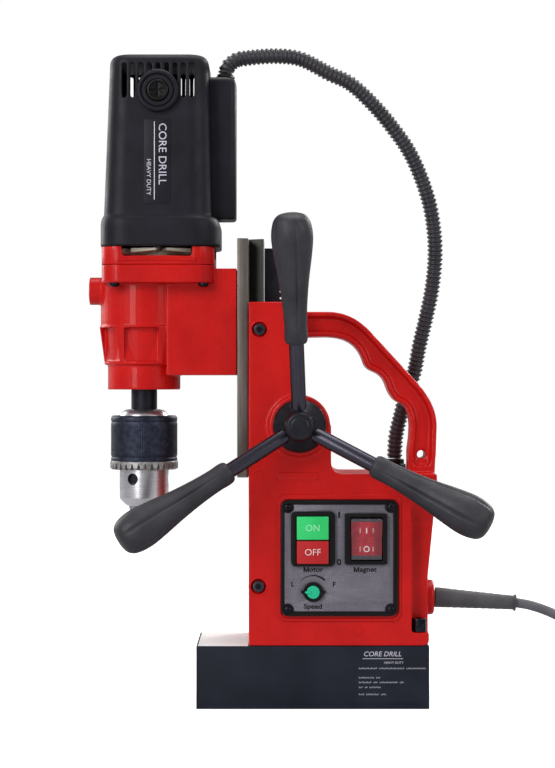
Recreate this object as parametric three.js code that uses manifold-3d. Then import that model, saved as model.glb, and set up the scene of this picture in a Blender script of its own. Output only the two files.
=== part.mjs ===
// A magnetic drill press: an electromagnet base, a cast column with its carry handle and control
// box, a drill head that slides on a dovetail, a two-stage geared spindle with a keyed chuck, and
// a three-spoke hand feed. Millimetres. +X is the operator's right, +Y the back, +Z up. The origin
// is the middle of the magnet's pole face, which stands on the work.
import * as THREE from "three";
import { mergeVertices } from "three/addons/utils/BufferGeometryUtils.js";
import Module from "manifold-3d";

const wasm = await Module();
wasm.setup();

// ---------------------------------------------------------------- driving dimensions
const GAP = 0.3; // between two pieces that touch

const MAGNET = { halfLength: 82.5, halfWidth: 40, height: 44.5 };
const BODY = { left: -45.5, top: 288.5, half: 40, foot: 44.8, boxTop: 166.5, right: 82.5 };
const HANDLE_HALF = 16; // half of the carry handle's thickness along Y
const HANDLE_STEPS = 8; // straight steps in each curve of its outline

const FEED = { x: -9.5, z: 200.7, boss: 21.8 }; // axis of the feed shaft and its cast boss
const PINION = { teeth: 16, module: 1.5, half: 7.5 };
const SPOKE_ANGLES = [92.4, 212.4, 332.4]; // degrees from +X towards +Z
const SPOKE_LEAN = 14; // degrees towards the operator

const WAY = { neckX: -45.9, backX: -34.7, neckHalf: 14, flare: 0.5357 }; // male dovetail
const SLIDE = { left: -53.8, half: 28, low: 163.4, high: 334.4 };
const RACK = { low: 162, high: 328.4, half: 8 };

const PANEL = { left: -22.6, right: 60, low: 66.2, high: 148.1, front: -43, plate: -42, back: -40.3 };
const PANEL_SCREWS = [[-17.6, 143.0], [55.2, 143.0], [-17.6, 70.8], [55.2, 70.8]];
const BAY = { left: -14, right: 76, low: 61, high: 151, front: -34 };
const BASE_BOLT = { x: 75.65, y: -33.8 };
const GIB_SCREWS = { upper: [-37.7, 268.8], lower: [-38.5, 86.8] };

const MOTOR = { x: -111, low: 328.1, skirtTop: 349.8, top: 465.4, roof: 459.8 };
const MOTOR_FOOT = { x: -110.9, half: 39.3 }; // the moulding narrows from its foot to its crown
const MOTOR_CROWN = { x: -109.6, half: 35.2 };
const SKIRT = { x: -108.9, half: 42.8 };
const BRUSH_Z = 438.4;
const FLANGE = { x: -110.5, half: 40.2, low: 302.2, parting: 315.4, top: 327.8 };
const SPINDLE_X = -122;
const LAYSHAFT_X = -92;
const FAST_STAGE = { pinion: 8, gear: 32, low: 286, high: 294 };
const SLOW_STAGE = { pinion: 15, gear: 36, low: 266, high: 278 };

const JAW = { tilt: 12, offset: 6.7, tipZ: 138, radius: 3.6, length: 27 };
const JAW_ANGLES = [-54.7, 65.3, 185.3];
const KEY_HOLE_Z = 161.6;

const CORD_RADIUS = 3.5;
const RELIEF = { x: 88.7, z: 75.2, length: 60, droop: 4 };
const COIL = { x: 272, y: 0, mid: 53, turns: 4, pitch: 7.2 };
const PLUG = { x: 302.6, y: -53, z: 9.6, lift: 8 };
const CONDUIT_RADIUS = 5.7;
const CONDUIT_FOOT = [61.6, 27];
const CONDUIT_HEAD = [-62.9, 0];

const FINE = 48; // sides of a round casting
const ROUND = 24; // sides of a large round piece
const SMALL = 12; // sides of a small one

// ---------------------------------------------------------------- materials
function paint(color, roughness, metalness) {
  return new THREE.MeshStandardMaterial({ color, roughness, metalness });
}
const MATERIAL = {
  redCasting: paint(0xbe231e, 0.42, 0.1),
  magnetPaint: paint(0x20242e, 0.5, 0.3),
  coilResin: paint(0x6b4a2c, 0.6, 0),
  blackPlastic: paint(0x2d2d32, 0.6, 0),
  gripPlastic: paint(0x3c3c42, 0.65, 0),
  panelGrey: paint(0x706e76, 0.5, 0.4),
  groundSteel: paint(0x645f58, 0.35, 0.9),
  machinedSteel: paint(0x8c8c90, 0.3, 0.95),
  brightSteel: paint(0xc8c8cc, 0.15, 1),
  blackOxide: paint(0x26262b, 0.45, 0.8),
  bronze: paint(0xb08d57, 0.35, 0.9),
  copper: paint(0xa8642f, 0.4, 0.9),
  fanMetal: paint(0xb9babd, 0.3, 0.9),
  boardGreen: paint(0x1f4f35, 0.6, 0),
  greenButton: paint(0x3cd76e, 0.45, 0),
  redButton: paint(0xb92323, 0.45, 0),
  rockerRed: paint(0xaa283c, 0.3, 0),
  knobGreen: paint(0x1ebe8c, 0.5, 0),
  cordRubber: paint(0x4b4b52, 0.7, 0),
  conduitPlastic: paint(0x37343c, 0.55, 0),
};

// ---------------------------------------------------------------- solids
function solidOf(geometry) {
  geometry.deleteAttribute("normal");
  geometry.deleteAttribute("uv");
  const merged = mergeVertices(geometry, 1e-4);
  const corners = merged.index.array;
  const kept = [];
  for (let i = 0; i < corners.length; i += 3) {
    const [a, b, c] = [corners[i], corners[i + 1], corners[i + 2]];
    if (a !== b && b !== c && c !== a) kept.push(a, b, c);
  }
  return new wasm.Manifold(
    new wasm.Mesh({
      numProp: 3,
      vertProperties: new Float32Array(merged.attributes.position.array),
      triVerts: new Uint32Array(kept),
    }),
  );
}

function join(first, ...others) {
  return others.reduce((whole, piece) => whole.add(piece), first);
}

function cut(whole, ...tools) {
  return tools.reduce((left, tool) => left.subtract(tool), whole);
}

function block(x0, x1, y0, y1, z0, z1) {
  const geometry = new THREE.BoxGeometry(x1 - x0, y1 - y0, z1 - z0);
  return solidOf(geometry.translate((x0 + x1) / 2, (y0 + y1) / 2, (z0 + z1) / 2));
}

// Turns +Y of a fresh geometry to the named axis.
function alongAxis(geometry, axis) {
  if (axis === "z") return geometry.rotateX(Math.PI / 2);
  if (axis === "x") return geometry.rotateZ(-Math.PI / 2);
  return geometry;
}

// A solid of revolution: the profile is [radius, height] from low to high, at a place.
function lathed(profile, axis = "z", at = [0, 0, 0], sides = ROUND) {
  const points = profile.map(([radius, height]) => new THREE.Vector2(radius, height));
  const geometry = alongAxis(new THREE.LatheGeometry(points, sides), axis);
  return solidOf(geometry.translate(...at));
}

function rod(radius, from, to, axis = "z", at = [0, 0, 0], sides = ROUND) {
  return lathed([[0, from], [radius, from], [radius, to], [0, to]], axis, at, sides);
}

function ring(inner, outer, from, to, axis = "z", at = [0, 0, 0], sides = ROUND) {
  const profile = [[inner, from], [outer, from], [outer, to], [inner, to], [inner, from]];
  return lathed(profile, axis, at, sides);
}

function outline(points) {
  return new THREE.Shape(points.map(([u, v]) => new THREE.Vector2(u, v)));
}

function roundedRect(u0, u1, v0, v1, radius) {
  const shape = new THREE.Shape();
  shape.moveTo(u0 + radius, v0);
  shape.absarc(u1 - radius, v0 + radius, radius, -Math.PI / 2, 0, false);
  shape.absarc(u1 - radius, v1 - radius, radius, 0, Math.PI / 2, false);
  shape.absarc(u0 + radius, v1 - radius, radius, Math.PI / 2, Math.PI, false);
  shape.absarc(u0 + radius, v0 + radius, radius, Math.PI, 1.5 * Math.PI, false);
  return shape;
}

// An outline pushed along an axis: (x, y) along z, (x, z) along y, (y, z) along x.
function prism(shape, axis, from, to, curveSegments = 5) {
  const geometry = new THREE.ExtrudeGeometry(shape, {
    depth: to - from,
    bevelEnabled: false,
    curveSegments,
  });
  if (axis === "y") {
    geometry.rotateX(Math.PI / 2).translate(0, to, 0);
  } else if (axis === "x") {
    const basis = new THREE.Matrix4().makeBasis(
      new THREE.Vector3(0, 1, 0),
      new THREE.Vector3(0, 0, 1),
      new THREE.Vector3(1, 0, 0),
    );
    geometry.applyMatrix4(basis).translate(from, 0, 0);
  } else {
    geometry.translate(0, 0, from);
  }
  return solidOf(geometry);
}

// A round tube along a smooth curve through the points.
function tube(points, radius, sides, steps) {
  const path = new THREE.CatmullRomCurve3(points.map((p) => new THREE.Vector3(...p)), false, "centripetal");
  const section = new THREE.Shape();
  for (let i = 0; i < sides; i++) {
    const turn = (i / sides) * 2 * Math.PI;
    if (i === 0) section.moveTo(radius, 0);
    else section.lineTo(radius * Math.cos(turn), radius * Math.sin(turn));
  }
  return solidOf(new THREE.ExtrudeGeometry(section, { steps, extrudePath: path, bevelEnabled: false }));
}

// Outline of a spur gear with involute flanks; firstTooth is the angle of a tooth's middle.
function gearOutline(teeth, module, firstTooth = 0, backlash = 0.12) {
  const pressure = (20 * Math.PI) / 180;
  const pitch = (teeth * module) / 2;
  const base = pitch * Math.cos(pressure);
  const involute = (angle) => Math.tan(angle) - angle;
  const halfAtPitch = Math.PI / (2 * teeth) - (backlash * module) / pitch;
  const half = (radius) => {
    const angle = Math.acos(Math.min(1, base / radius));
    return halfAtPitch + involute(pressure) - involute(angle);
  };
  const radii = [Math.max(pitch - 1.25 * module, 1), pitch + 0.92 * module];
  const points = [];
  for (let i = 0; i < teeth; i++) {
    const middle = firstTooth + (i * 2 * Math.PI) / teeth;
    const left = radii.map((radius) => [radius, middle - half(radius)]);
    const right = radii.map((radius) => [radius, middle + half(radius)]).reverse();
    for (const [radius, angle] of [...left, ...right]) {
      points.push([radius * Math.cos(angle), radius * Math.sin(angle)]);
    }
  }
  return outline(points);
}

// ---------------------------------------------------------------- scene graph
const machine = new THREE.Group();

function group(parent, x = 0, y = 0, z = 0) {
  const made = new THREE.Group();
  made.position.set(x, y, z);
  parent.add(made);
  return made;
}

function add(parent, name, solid, material) {
  const { vertProperties, triVerts } = solid.getMesh();
  const geometry = new THREE.BufferGeometry();
  geometry.setAttribute("position", new THREE.BufferAttribute(new Float32Array(vertProperties), 3));
  geometry.setIndex(new THREE.BufferAttribute(new Uint32Array(triVerts), 1));
  const mesh = new THREE.Mesh(geometry, material);
  mesh.name = name;
  parent.add(mesh);
  return mesh;
}

// ---------------------------------------------------------------- magnet base
function magnetHousing() {
  const { halfLength, halfWidth, height } = MAGNET;
  const slot = roundedRect(-66, 66, -28, 28, 8);
  slot.holes.push(roundedRect(-48, 48, -12, 12, 4));
  return cut(
    block(-halfLength, halfLength, -halfWidth, halfWidth, 0, height),
    prism(slot, "z", -1, 30, 3),
    rod(3.4, 36, height + 1, "z", [BASE_BOLT.x, BASE_BOLT.y, 0], SMALL),
  );
}

function magnetCoil() {
  const coil = roundedRect(-65.7, 65.7, -27.7, 27.7, 7.7);
  coil.holes.push(roundedRect(-48.3, 48.3, -12.3, 12.3, 4.3));
  return prism(coil, "z", 0.4, 29.7, 3);
}

function baseBolt() {
  const place = [BASE_BOLT.x, BASE_BOLT.y, 0];
  const head = 54.3;
  return cut(
    lathed([[0, 37], [3, 37], [3, head], [5.15, head], [5.15, 63.8], [0, 63.8]], "z", place, SMALL),
    rod(2.6, 59, 65, "z", place, 6),
  );
}

const base = group(machine);
add(base, "magnet_housing", magnetHousing(), MATERIAL.magnetPaint);
add(base, "magnet_coil", magnetCoil(), MATERIAL.coilResin);
add(base, "base_bolt", baseBolt(), MATERIAL.blackOxide);

// ---------------------------------------------------------------- column casting
// The carry handle: a D that leaves the column's top, rounds over and comes down to the box.
function handleBand() {
  const band = new THREE.Shape();
  band.moveTo(-14, 282.3);
  band.lineTo(12, 282.3);
  band.bezierCurveTo(26, 282.3, 37, 274.5, 45, 264.8);
  band.lineTo(73, 234.3);
  band.bezierCurveTo(84, 223, 89.9, 212, 89.9, 200);
  band.lineTo(89.3, 182.7);
  band.lineTo(88, 161);
  band.lineTo(69.4, 161);
  band.lineTo(69.4, 182.7);
  band.bezierCurveTo(71.2, 194, 72.6, 206, 67.5, 213.6);
  band.bezierCurveTo(64, 217.5, 60, 216.5, 57.5, 221);
  band.bezierCurveTo(52.5, 227, 54.5, 233.5, 46.9, 238);
  band.bezierCurveTo(41.5, 240.5, 38.5, 241, 37, 246.4);
  band.bezierCurveTo(34.5, 254, 29.5, 264.3, 10.2, 264.3);
  band.lineTo(-14, 263.7);
  return band;
}

// The channel in each side of the handle, which leaves a rim along both of its edges.
function handleChannel(from, to) {
  const band = handleBand().getPoints(HANDLE_STEPS).map(({ x, y }) => [x, y]);
  const inset = new wasm.CrossSection([band], "EvenOdd").offset(-3.8, "Round", 2, 16).simplify(0.1);
  const reach = block(-9, 100, from, to, 171.5, 300);
  return inset.extrude(to - from).rotate([90, 0, 0]).translate([0, to, 0]).intersect(reach);
}

// The soft corner where the column rises from the control box.
function rootFillet() {
  const [wall, floor, radius] = [13, BODY.boxTop, 8];
  const shape = new THREE.Shape();
  shape.moveTo(wall - 1, floor - 1);
  shape.lineTo(wall + radius, floor - 1);
  shape.lineTo(wall + radius, floor);
  shape.absarc(wall + radius, floor + radius, radius, -Math.PI / 2, -Math.PI, true);
  shape.lineTo(wall - 1, floor + radius);
  return prism(shape, "y", -BODY.half, BODY.half, 6);
}

function boxOutline() {
  const shape = new THREE.Shape();
  shape.moveTo(BODY.left, BODY.foot);
  shape.lineTo(BODY.right - 4, BODY.foot);
  shape.absarc(BODY.right - 4, BODY.foot + 4, 4, -Math.PI / 2, 0, false);
  shape.lineTo(BODY.right, 93);
  shape.lineTo(86.3, 132);
  shape.lineTo(88, 161);
  shape.lineTo(88, BODY.boxTop);
  shape.lineTo(BODY.left, BODY.boxTop);
  return shape;
}

// Half width of the male dovetail at a given x.
function flank(x) {
  return WAY.neckHalf + (x - WAY.neckX) * WAY.flare;
}

// The female way: a close fit at the back, and room for the gib strip at the front.
function waySlot() {
  const [open, deep, behind, infront] = [BODY.left - 0.5, WAY.backX + 0.5, 0.35, 3.7];
  return outline([
    [open, -flank(open) - infront],
    [deep, -flank(deep) - infront],
    [deep, flank(deep) + behind],
    [open, flank(open) + behind],
  ]);
}

function columnHousing() {
  const feedAxis = [FEED.x, 0, FEED.z];
  const outside = join(
    prism(boxOutline(), "y", -BODY.half, BODY.half, 4),
    block(BODY.left, -12, -BODY.half, BODY.half, 160, BODY.top),
    block(-13, 13, -BODY.half, BODY.half, 160, FEED.z),
    rod(FEED.boss, -44.8, BODY.half, "y", feedAxis, FINE),
    prism(handleBand(), "y", -HANDLE_HALF, HANDLE_HALF, HANDLE_STEPS),
    rootFillet(),
  );
  const cornerRecess = outline([[-41, 54], [-27.5, 54], [-27.5, 132], [-41, 150]]);
  let casting = cut(
    outside,
    handleChannel(-HANDLE_HALF - 1, -11.8),
    handleChannel(11.8, HANDLE_HALF + 1),
    prism(waySlot(), "z", 40, 300),
    block(-35, -18.5, -8.6, 8.6, 40, 300),
    rod(15, -46, 9.3, "y", feedAxis),
    rod(5.5, 8, 34, "y", feedAxis, SMALL),
    block(BAY.left, 66, BAY.front, 38, BAY.low, BAY.high),
    block(65, BAY.right, -20, 38, BAY.low, BAY.high),
    block(BAY.left, 52, -41, -33, 72, 140),
    block(-17, 79, 37, 41, 57, 155),
    prism(cornerRecess, "x", 70, 95),
    rod(3.4, 44, 56, "z", [BASE_BOLT.x, BASE_BOLT.y, 0], SMALL),
    rod(5, 75, 90, "x", [0, 0, RELIEF.z], SMALL),
    rod(5.2, 150, 168, "z", [...CONDUIT_FOOT, 0], SMALL),
    rod(3.2, -20, 20, "y", [78.8, 0, 179.4], SMALL),
  );
  for (const [x, z] of Object.values(GIB_SCREWS)) {
    casting = cut(
      casting,
      rod(2.9, -41, -20, "y", [x, 0, z], SMALL),
      rod(5.6, -41, -37, "y", [x, 0, z], SMALL),
    );
  }
  for (const [x, z] of PANEL_SCREWS) {
    casting = cut(casting, rod(1.9, -41, -33.5, "y", [x, 0, z], 8));
  }
  return casting;
}

function rearCover() {
  let plate = block(-16.7, 78.7, 37.3, 40, 57.3, 154.7);
  for (let i = 0; i < 5; i++) {
    const z = 92 + i * 7;
    plate = cut(plate, block(10, 52, 36, 41, z, z + 2.6));
  }
  return plate;
}

function circuitBoard() {
  return join(
    block(-8, 62, 12, 13.6, 66, 146),
    block(14, 50, 13, 26, 84, 112),
    rod(8, 13, 30, "y", [5, 0, 130], SMALL),
    block(30, 56, 13, 22, 122, 140),
  );
}

function gibStrip() {
  const [low, high] = [WAY.neckX + 0.7, WAY.backX - 0.2];
  const section = outline([
    [low, -flank(low) - 3.35],
    [high, -flank(high) - 3.35],
    [high, -flank(high) - 0.35],
    [low, -flank(low) - 0.35],
  ]);
  return prism(section, "z", 56, 286);
}

function gibScrew() {
  const profile = [[0, -40.8], [4, -40.8], [4, -37.3], [2.5, -37.3], [2.5, -23.6], [0, -23.6]];
  return cut(lathed(profile, "y", [0, 0, 0], SMALL), rod(2.2, -42, -38.6, "y", [0, 0, 0], 6));
}

const column = group(machine);
add(column, "column_housing", columnHousing(), MATERIAL.redCasting);
add(column, "rear_cover", rearCover(), MATERIAL.blackPlastic);
add(column, "circuit_board", circuitBoard(), MATERIAL.boardGreen);
add(column, "gib_strip", gibStrip(), MATERIAL.bronze);
for (const [place, [x, z]] of Object.entries(GIB_SCREWS)) {
  add(group(column, x, 0, z), `gib_screw_${place}`, gibScrew(), MATERIAL.blackOxide);
}

// ---------------------------------------------------------------- control panel
const SWITCH = { left: -15.5, right: 15.6, low: 101.5, high: 140.2, proud: -45.2 };
const BUTTON = { left: -11.4, right: 11.1, front: -47.2, back: -37 };
const ROCKER = { left: 22.5, right: 52.4, low: 102.8, high: 138.8 };
const ROCKER_PIVOT = { y: -40.5, z: 120.7, radius: 15.2, tilt: 7 };
const DIAL = { x: 0.2, z: 83.2, outer: 7, inner: 4.9 };

function panelFrame() {
  const { left, right, low, high, front, back } = PANEL;
  const rim = roundedRect(left, right, low, high, 5);
  rim.holes.push(roundedRect(left + 2.2, right - 2.8, low + 2.9, high - 2.9, 2));
  let frame = prism(rim, "y", front, back, 3);
  for (const [x, z] of PANEL_SCREWS) {
    frame = frame.add(rod(3.9, front, back, "y", [x, 0, z], SMALL));
  }
  for (const [x, z] of PANEL_SCREWS) {
    frame = cut(frame, rod(1.9, front - 1, back + 1, "y", [x, 0, z], 8));
  }
  return frame;
}

function controlPanel() {
  const { left, right, low, high, plate, back } = PANEL;
  let sheet = block(left + 2.5, right - 3.1, plate, back, low + 3.2, high - 3.2);
  for (const [x, z] of PANEL_SCREWS) {
    sheet = cut(sheet, rod(3.9 + GAP, plate - 1, back + 1, "y", [x, 0, z], SMALL));
  }
  return cut(
    sheet,
    block(SWITCH.left + 1.8, SWITCH.right - 1.8, -43, -39, SWITCH.low + 0.1, SWITCH.high - 1),
    block(ROCKER.left + 2.2, ROCKER.right - 1.2, -43, -39, ROCKER.low + 0.4, ROCKER.high - 0.6),
    rod(3.4, -43, -39, "y", [DIAL.x, 0, DIAL.z], SMALL),
  );
}

function panelScrew() {
  const profile = [[0, -44.9], [2.7, -44.9], [2.7, -43.3], [1.6, -43.3], [1.6, -34.5], [0, -34.5]];
  return lathed(profile, "y", [0, 0, 0], 12);
}

function switchFrame() {
  const { left, right, low, high, proud } = SWITCH;
  const bezel = prism(roundedRect(left, right, low, high, 3.4), "y", proud, -42.3, 3);
  const box = block(left + 2.2, right - 2.2, -42.4, -29.5, low + 0.5, high - 1.5);
  return cut(join(bezel, box), block(-11.7, 11.4, -46, -31, 103, 137));
}

function rockerBezel() {
  const { left, right, low, high } = ROCKER;
  const bezel = prism(roundedRect(left, right, low, high, 1.2), "y", -45.2, -42.3, 2);
  const box = block(left + 2.6, right - 1.6, -42.4, -23.5, low + 0.8, high - 1);
  return cut(join(bezel, box), block(26.6, 49.4, -46, -25, 105.2, 136.2));
}

// The rocker's ends are arcs about its pivot, so it swings without touching the bezel. Its
// own origin is the pivot; the section is in (y, z).
function magnetRocker() {
  const { radius } = ROCKER_PIVOT;
  const section = new THREE.Shape();
  const [front, back] = [0.33, 0.24];
  section.absarc(0, 0, radius, -Math.PI / 2 - front, -Math.PI / 2 + back, false);
  section.lineTo(8, 0);
  section.absarc(0, 0, radius, Math.PI / 2 - back, Math.PI / 2 + front, false);
  section.lineTo(-3.6, 0);
  return prism(section, "x", 26.9, 49.1, 3);
}

function speedKnob() {
  const profile = [[0, -45.8], [4.6, -45.8], [4.6, -42.6], [3, -42.6], [3, -30], [0, -30]];
  return lathed(profile, "y", [0, 0, 0], 20);
}

const panel = group(column);
add(panel, "panel_frame", panelFrame(), MATERIAL.blackPlastic);
add(panel, "control_panel", controlPanel(), MATERIAL.panelGrey);
PANEL_SCREWS.forEach(([x, z], i) => {
  add(group(panel, x, 0, z), `panel_screw_${i + 1}`, panelScrew(), MATERIAL.blackOxide);
});
add(panel, "switch_frame", switchFrame(), MATERIAL.blackPlastic);
add(panel, "on_button", block(BUTTON.left, BUTTON.right, BUTTON.front, BUTTON.back, 120.3, 136.7),
  MATERIAL.greenButton);
add(panel, "off_button", block(BUTTON.left, BUTTON.right, BUTTON.front, BUTTON.back, 103.3, 119.5),
  MATERIAL.redButton);
add(panel, "rocker_bezel", rockerBezel(), MATERIAL.blackPlastic);
const rocker = group(panel, 0, ROCKER_PIVOT.y, ROCKER_PIVOT.z);
rocker.rotation.x = (ROCKER_PIVOT.tilt * Math.PI) / 180;
add(rocker, "magnet_rocker", magnetRocker(), MATERIAL.rockerRed);
const dial = group(panel, DIAL.x, 0, DIAL.z);
add(dial, "dial_ring", ring(DIAL.inner, DIAL.outer, -44.8, -42.3, "y", [0, 0, 0], 24),
  MATERIAL.blackPlastic);
add(dial, "speed_knob", speedKnob(), MATERIAL.knobGreen);

// ---------------------------------------------------------------- hand feed
function feedPinionShaft() {
  const teeth = gearOutline(PINION.teeth, PINION.module, Math.PI / PINION.teeth);
  return join(
    rod(7, -60, -PINION.half + 1, "y", [0, 0, 0], 24),
    prism(teeth, "y", -PINION.half, PINION.half, 1),
    rod(5, PINION.half - 1, 32, "y", [0, 0, 0], SMALL),
  );
}

const HUB = { back: -45.9, shoulder: -54, waist: -61.5, front: -71.6, radius: 18.8, boreEnd: -60.4 };
const SPOKE = { radius: 5.3, from: 10, to: 84, y: -56 };
const GRIP = { from: 58, to: 146.5 };

// A length along the leaning spoke, for a distance measured straight out from the feed axis.
function alongSpoke(radial) {
  return radial / Math.cos((SPOKE_LEAN * Math.PI) / 180);
}

// The frame of one spoke: its own +Z runs out along the spoke and towards the operator.
function spokeFrame(parent, degrees) {
  const turned = group(parent);
  turned.rotation.y = ((90 - degrees) * Math.PI) / 180;
  const leaning = group(turned, 0, SPOKE.y + SPOKE.from * Math.tan((SPOKE_LEAN * Math.PI) / 180), 0);
  leaning.rotation.x = (SPOKE_LEAN * Math.PI) / 180;
  return leaning;
}

function feedHub() {
  const { back, shoulder, waist, front, radius, boreEnd } = HUB;
  let hub = lathed(
    [[0, front], [8.4, front], [9.8, front + 1.6], [10.3, waist], [radius, shoulder],
      [radius, back], [7.3, back], [7.3, boreEnd], [0, boreEnd]],
    "y", [0, 0, 0], 36,
  );
  for (const degrees of SPOKE_ANGLES) {
    const hole = new THREE.CylinderGeometry(SPOKE.radius + GAP, SPOKE.radius + GAP, 40, SMALL);
    const lean = (SPOKE_LEAN * Math.PI) / 180;
    hole.rotateX(Math.PI / 2).translate(0, 0, 20 + alongSpoke(SPOKE.from) - 0.6).rotateX(lean);
    hole.translate(0, SPOKE.y + SPOKE.from * Math.tan(lean), 0);
    hole.rotateY(((90 - degrees) * Math.PI) / 180);
    hub = cut(hub, solidOf(hole));
  }
  return hub;
}

function grip() {
  const [from, to] = [alongSpoke(GRIP.from), alongSpoke(GRIP.to)];
  const bore = SPOKE.radius + GAP;
  const boreEnd = alongSpoke(SPOKE.to) + 1;
  return lathed([
    [0, boreEnd], [bore, boreEnd], [bore, from], [7, from], [8, from + 3], [8.4, from + 22],
    [10.4, from + 44], [13.2, from + 62], [14.5, from + 72], [14.2, to - 10], [12.6, to - 3.5],
    [9, to], [0, to],
  ], "z", [0, 0, 0], 16);
}

const feed = group(machine, FEED.x, 0, FEED.z);
add(feed, "feed_bush", ring(7.35, 14.7, -44.6, -9.6, "y"), MATERIAL.bronze);
add(feed, "feed_pinion_shaft", feedPinionShaft(), MATERIAL.machinedSteel);
add(feed, "feed_hub", feedHub(), MATERIAL.blackOxide);
SPOKE_ANGLES.forEach((degrees, i) => {
  const frame = spokeFrame(feed, degrees);
  const shaft = rod(SPOKE.radius, alongSpoke(SPOKE.from), alongSpoke(SPOKE.to), "z", [0, 0, 0], SMALL);
  add(frame, `spoke_${i + 1}`, shaft, MATERIAL.blackOxide);
  add(frame, `grip_${i + 1}`, grip(), MATERIAL.gripPlastic);
});

// ---------------------------------------------------------------- slide and rack
function dovetailSlide() {
  const { left, half, low, high } = SLIDE;
  const [neck, deep] = [WAY.neckX, WAY.backX];
  const section = outline([
    [left, -half], [neck, -half], [neck, -flank(neck)], [deep, -flank(deep)],
    [deep, flank(deep)], [neck, flank(neck)], [neck, half], [left, half],
  ]);
  return prism(section, "z", low, high);
}

// Teeth face the feed pinion, with a tooth level with its axis when the head is at rest.
function rackSolid() {
  const spacing = Math.PI * PINION.module;
  const pitchX = FEED.x - (PINION.teeth * PINION.module) / 2;
  const [tipX, rootX] = [pitchX + 0.92 * PINION.module, pitchX - 1.25 * PINION.module];
  const slope = Math.tan((20 * Math.PI) / 180);
  const halfAtPitch = spacing / 4 - 0.12 * PINION.module;
  const tipHalf = halfAtPitch - slope * (tipX - pitchX);
  const rootHalf = halfAtPitch + slope * (pitchX - rootX);
  const firstTooth = Math.ceil((RACK.low + rootHalf - FEED.z) / spacing);
  const lastTooth = Math.floor((RACK.high - rootHalf - FEED.z) / spacing);
  const points = [[-34.4, RACK.high], [-34.4, RACK.low], [rootX, RACK.low]];
  for (let i = firstTooth; i <= lastTooth; i++) {
    const z = FEED.z + i * spacing;
    points.push([rootX, z - rootHalf], [tipX, z - tipHalf], [tipX, z + tipHalf], [rootX, z + rootHalf]);
  }
  points.push([rootX, RACK.high]);
  return prism(outline(points), "y", -RACK.half, RACK.half);
}

const head = group(machine);
add(head, "dovetail_slide", dovetailSlide(), MATERIAL.groundSteel);
add(head, "rack", rackSolid(), MATERIAL.blackOxide);

// ---------------------------------------------------------------- gear case and its cover
const CASE_RINGS = [[0, 226.2], [26.3, 226.2], [26.3, 244], [28.6, 244], [32.4, 271.7],
  [31.5, 271.7], [31.5, 306], [0, 306]];
const SPINDLE_PLACE = [SPINDLE_X, 0, 0];
const LAYSHAFT_PLACE = [LAYSHAFT_X, 0, 0];

function flangeSquare(inset, radius) {
  const { x, half } = FLANGE;
  return roundedRect(x - half + inset, x + half - inset, inset - half, half - inset, radius);
}

// Shallow pockets in the tapered part, one every 60 degrees except where the arm joins it.
function pocket(degrees) {
  const cutter = new THREE.BoxGeometry(20, 24.8, 24.2);
  cutter.translate(35, 0, 258.5).rotateZ((degrees * Math.PI) / 180).translate(SPINDLE_X, 0, 0);
  const floor = lathed([[0, 240], [24.8, 240], [27.6, 272], [0, 272]], "z", SPINDLE_PLACE, FINE);
  return cut(solidOf(cutter), floor);
}

function gearCase() {
  const outside = join(
    lathed(CASE_RINGS, "z", SPINDLE_PLACE, FINE),
    block(-104, -54.1, -27.5, 27.5, 236.6, 312.8),
    prism(flangeSquare(0, 14), "z", FLANGE.low, FLANGE.parting - GAP, 4),
    rod(10, -161.5, -149, "x", [0, 0, 297.7], 20),
  );
  const cavityTop = FLANGE.parting + 1;
  return cut(
    outside,
    rod(24, 262, cavityTop, "z", SPINDLE_PLACE),
    rod(17.8, 262, cavityTop, "z", LAYSHAFT_PLACE),
    rod(9.8, 225, 263, "z", SPINDLE_PLACE, 24),
    rod(20.3, 225, 241.3, "z", SPINDLE_PLACE, 24),
    rod(3.4, 249, 263, "z", LAYSHAFT_PLACE, SMALL),
    ...[-150, -90, 90, 150].map((degrees) => pocket(degrees)),
  );
}

function gearCaseCover() {
  const { x, half, parting, top } = FLANGE;
  const [windowLow, windowHigh] = [320.8, top + 1];
  return cut(
    prism(flangeSquare(0, 14), "z", parting, top, 4),
    prism(flangeSquare(4, 10), "z", parting + 3, top + 1, 4),
    block(x - 25, x + 25, -half - 1, half + 1, windowLow, windowHigh),
    block(x - half - 1, x + half + 1, -20, 20, windowLow, windowHigh),
    rod(4.7, parting - 1, top, "z", [MOTOR.x, 0, 0], SMALL),
    rod(3.4, parting - 1, top, "z", LAYSHAFT_PLACE, SMALL),
  );
}

add(head, "gear_case", gearCase(), MATERIAL.redCasting);
add(head, "gear_case_cover", gearCaseCover(), MATERIAL.redCasting);

// ---------------------------------------------------------------- motor
function motorSquare(half, radius, x = MOTOR.x) {
  return roundedRect(x - half, x + half, -half, half, radius);
}

// The motor's outside, or its inside with a negative offset, narrowing upwards.
function motorBody(offset, low, high) {
  const plain = prism(motorSquare(MOTOR_FOOT.half + offset, 16 + offset), "z", low, high, 5);
  return plain.warp((point) => {
    const rise = (point[2] - MOTOR.low) / (MOTOR.top - MOTOR.low);
    const scale = 1 + (MOTOR_CROWN.half / MOTOR_FOOT.half - 1) * rise;
    const middle = MOTOR_FOOT.x + (MOTOR_CROWN.x - MOTOR_FOOT.x) * rise;
    point[0] = middle + (point[0] - MOTOR.x) * scale;
    point[1] *= scale;
  });
}

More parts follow.
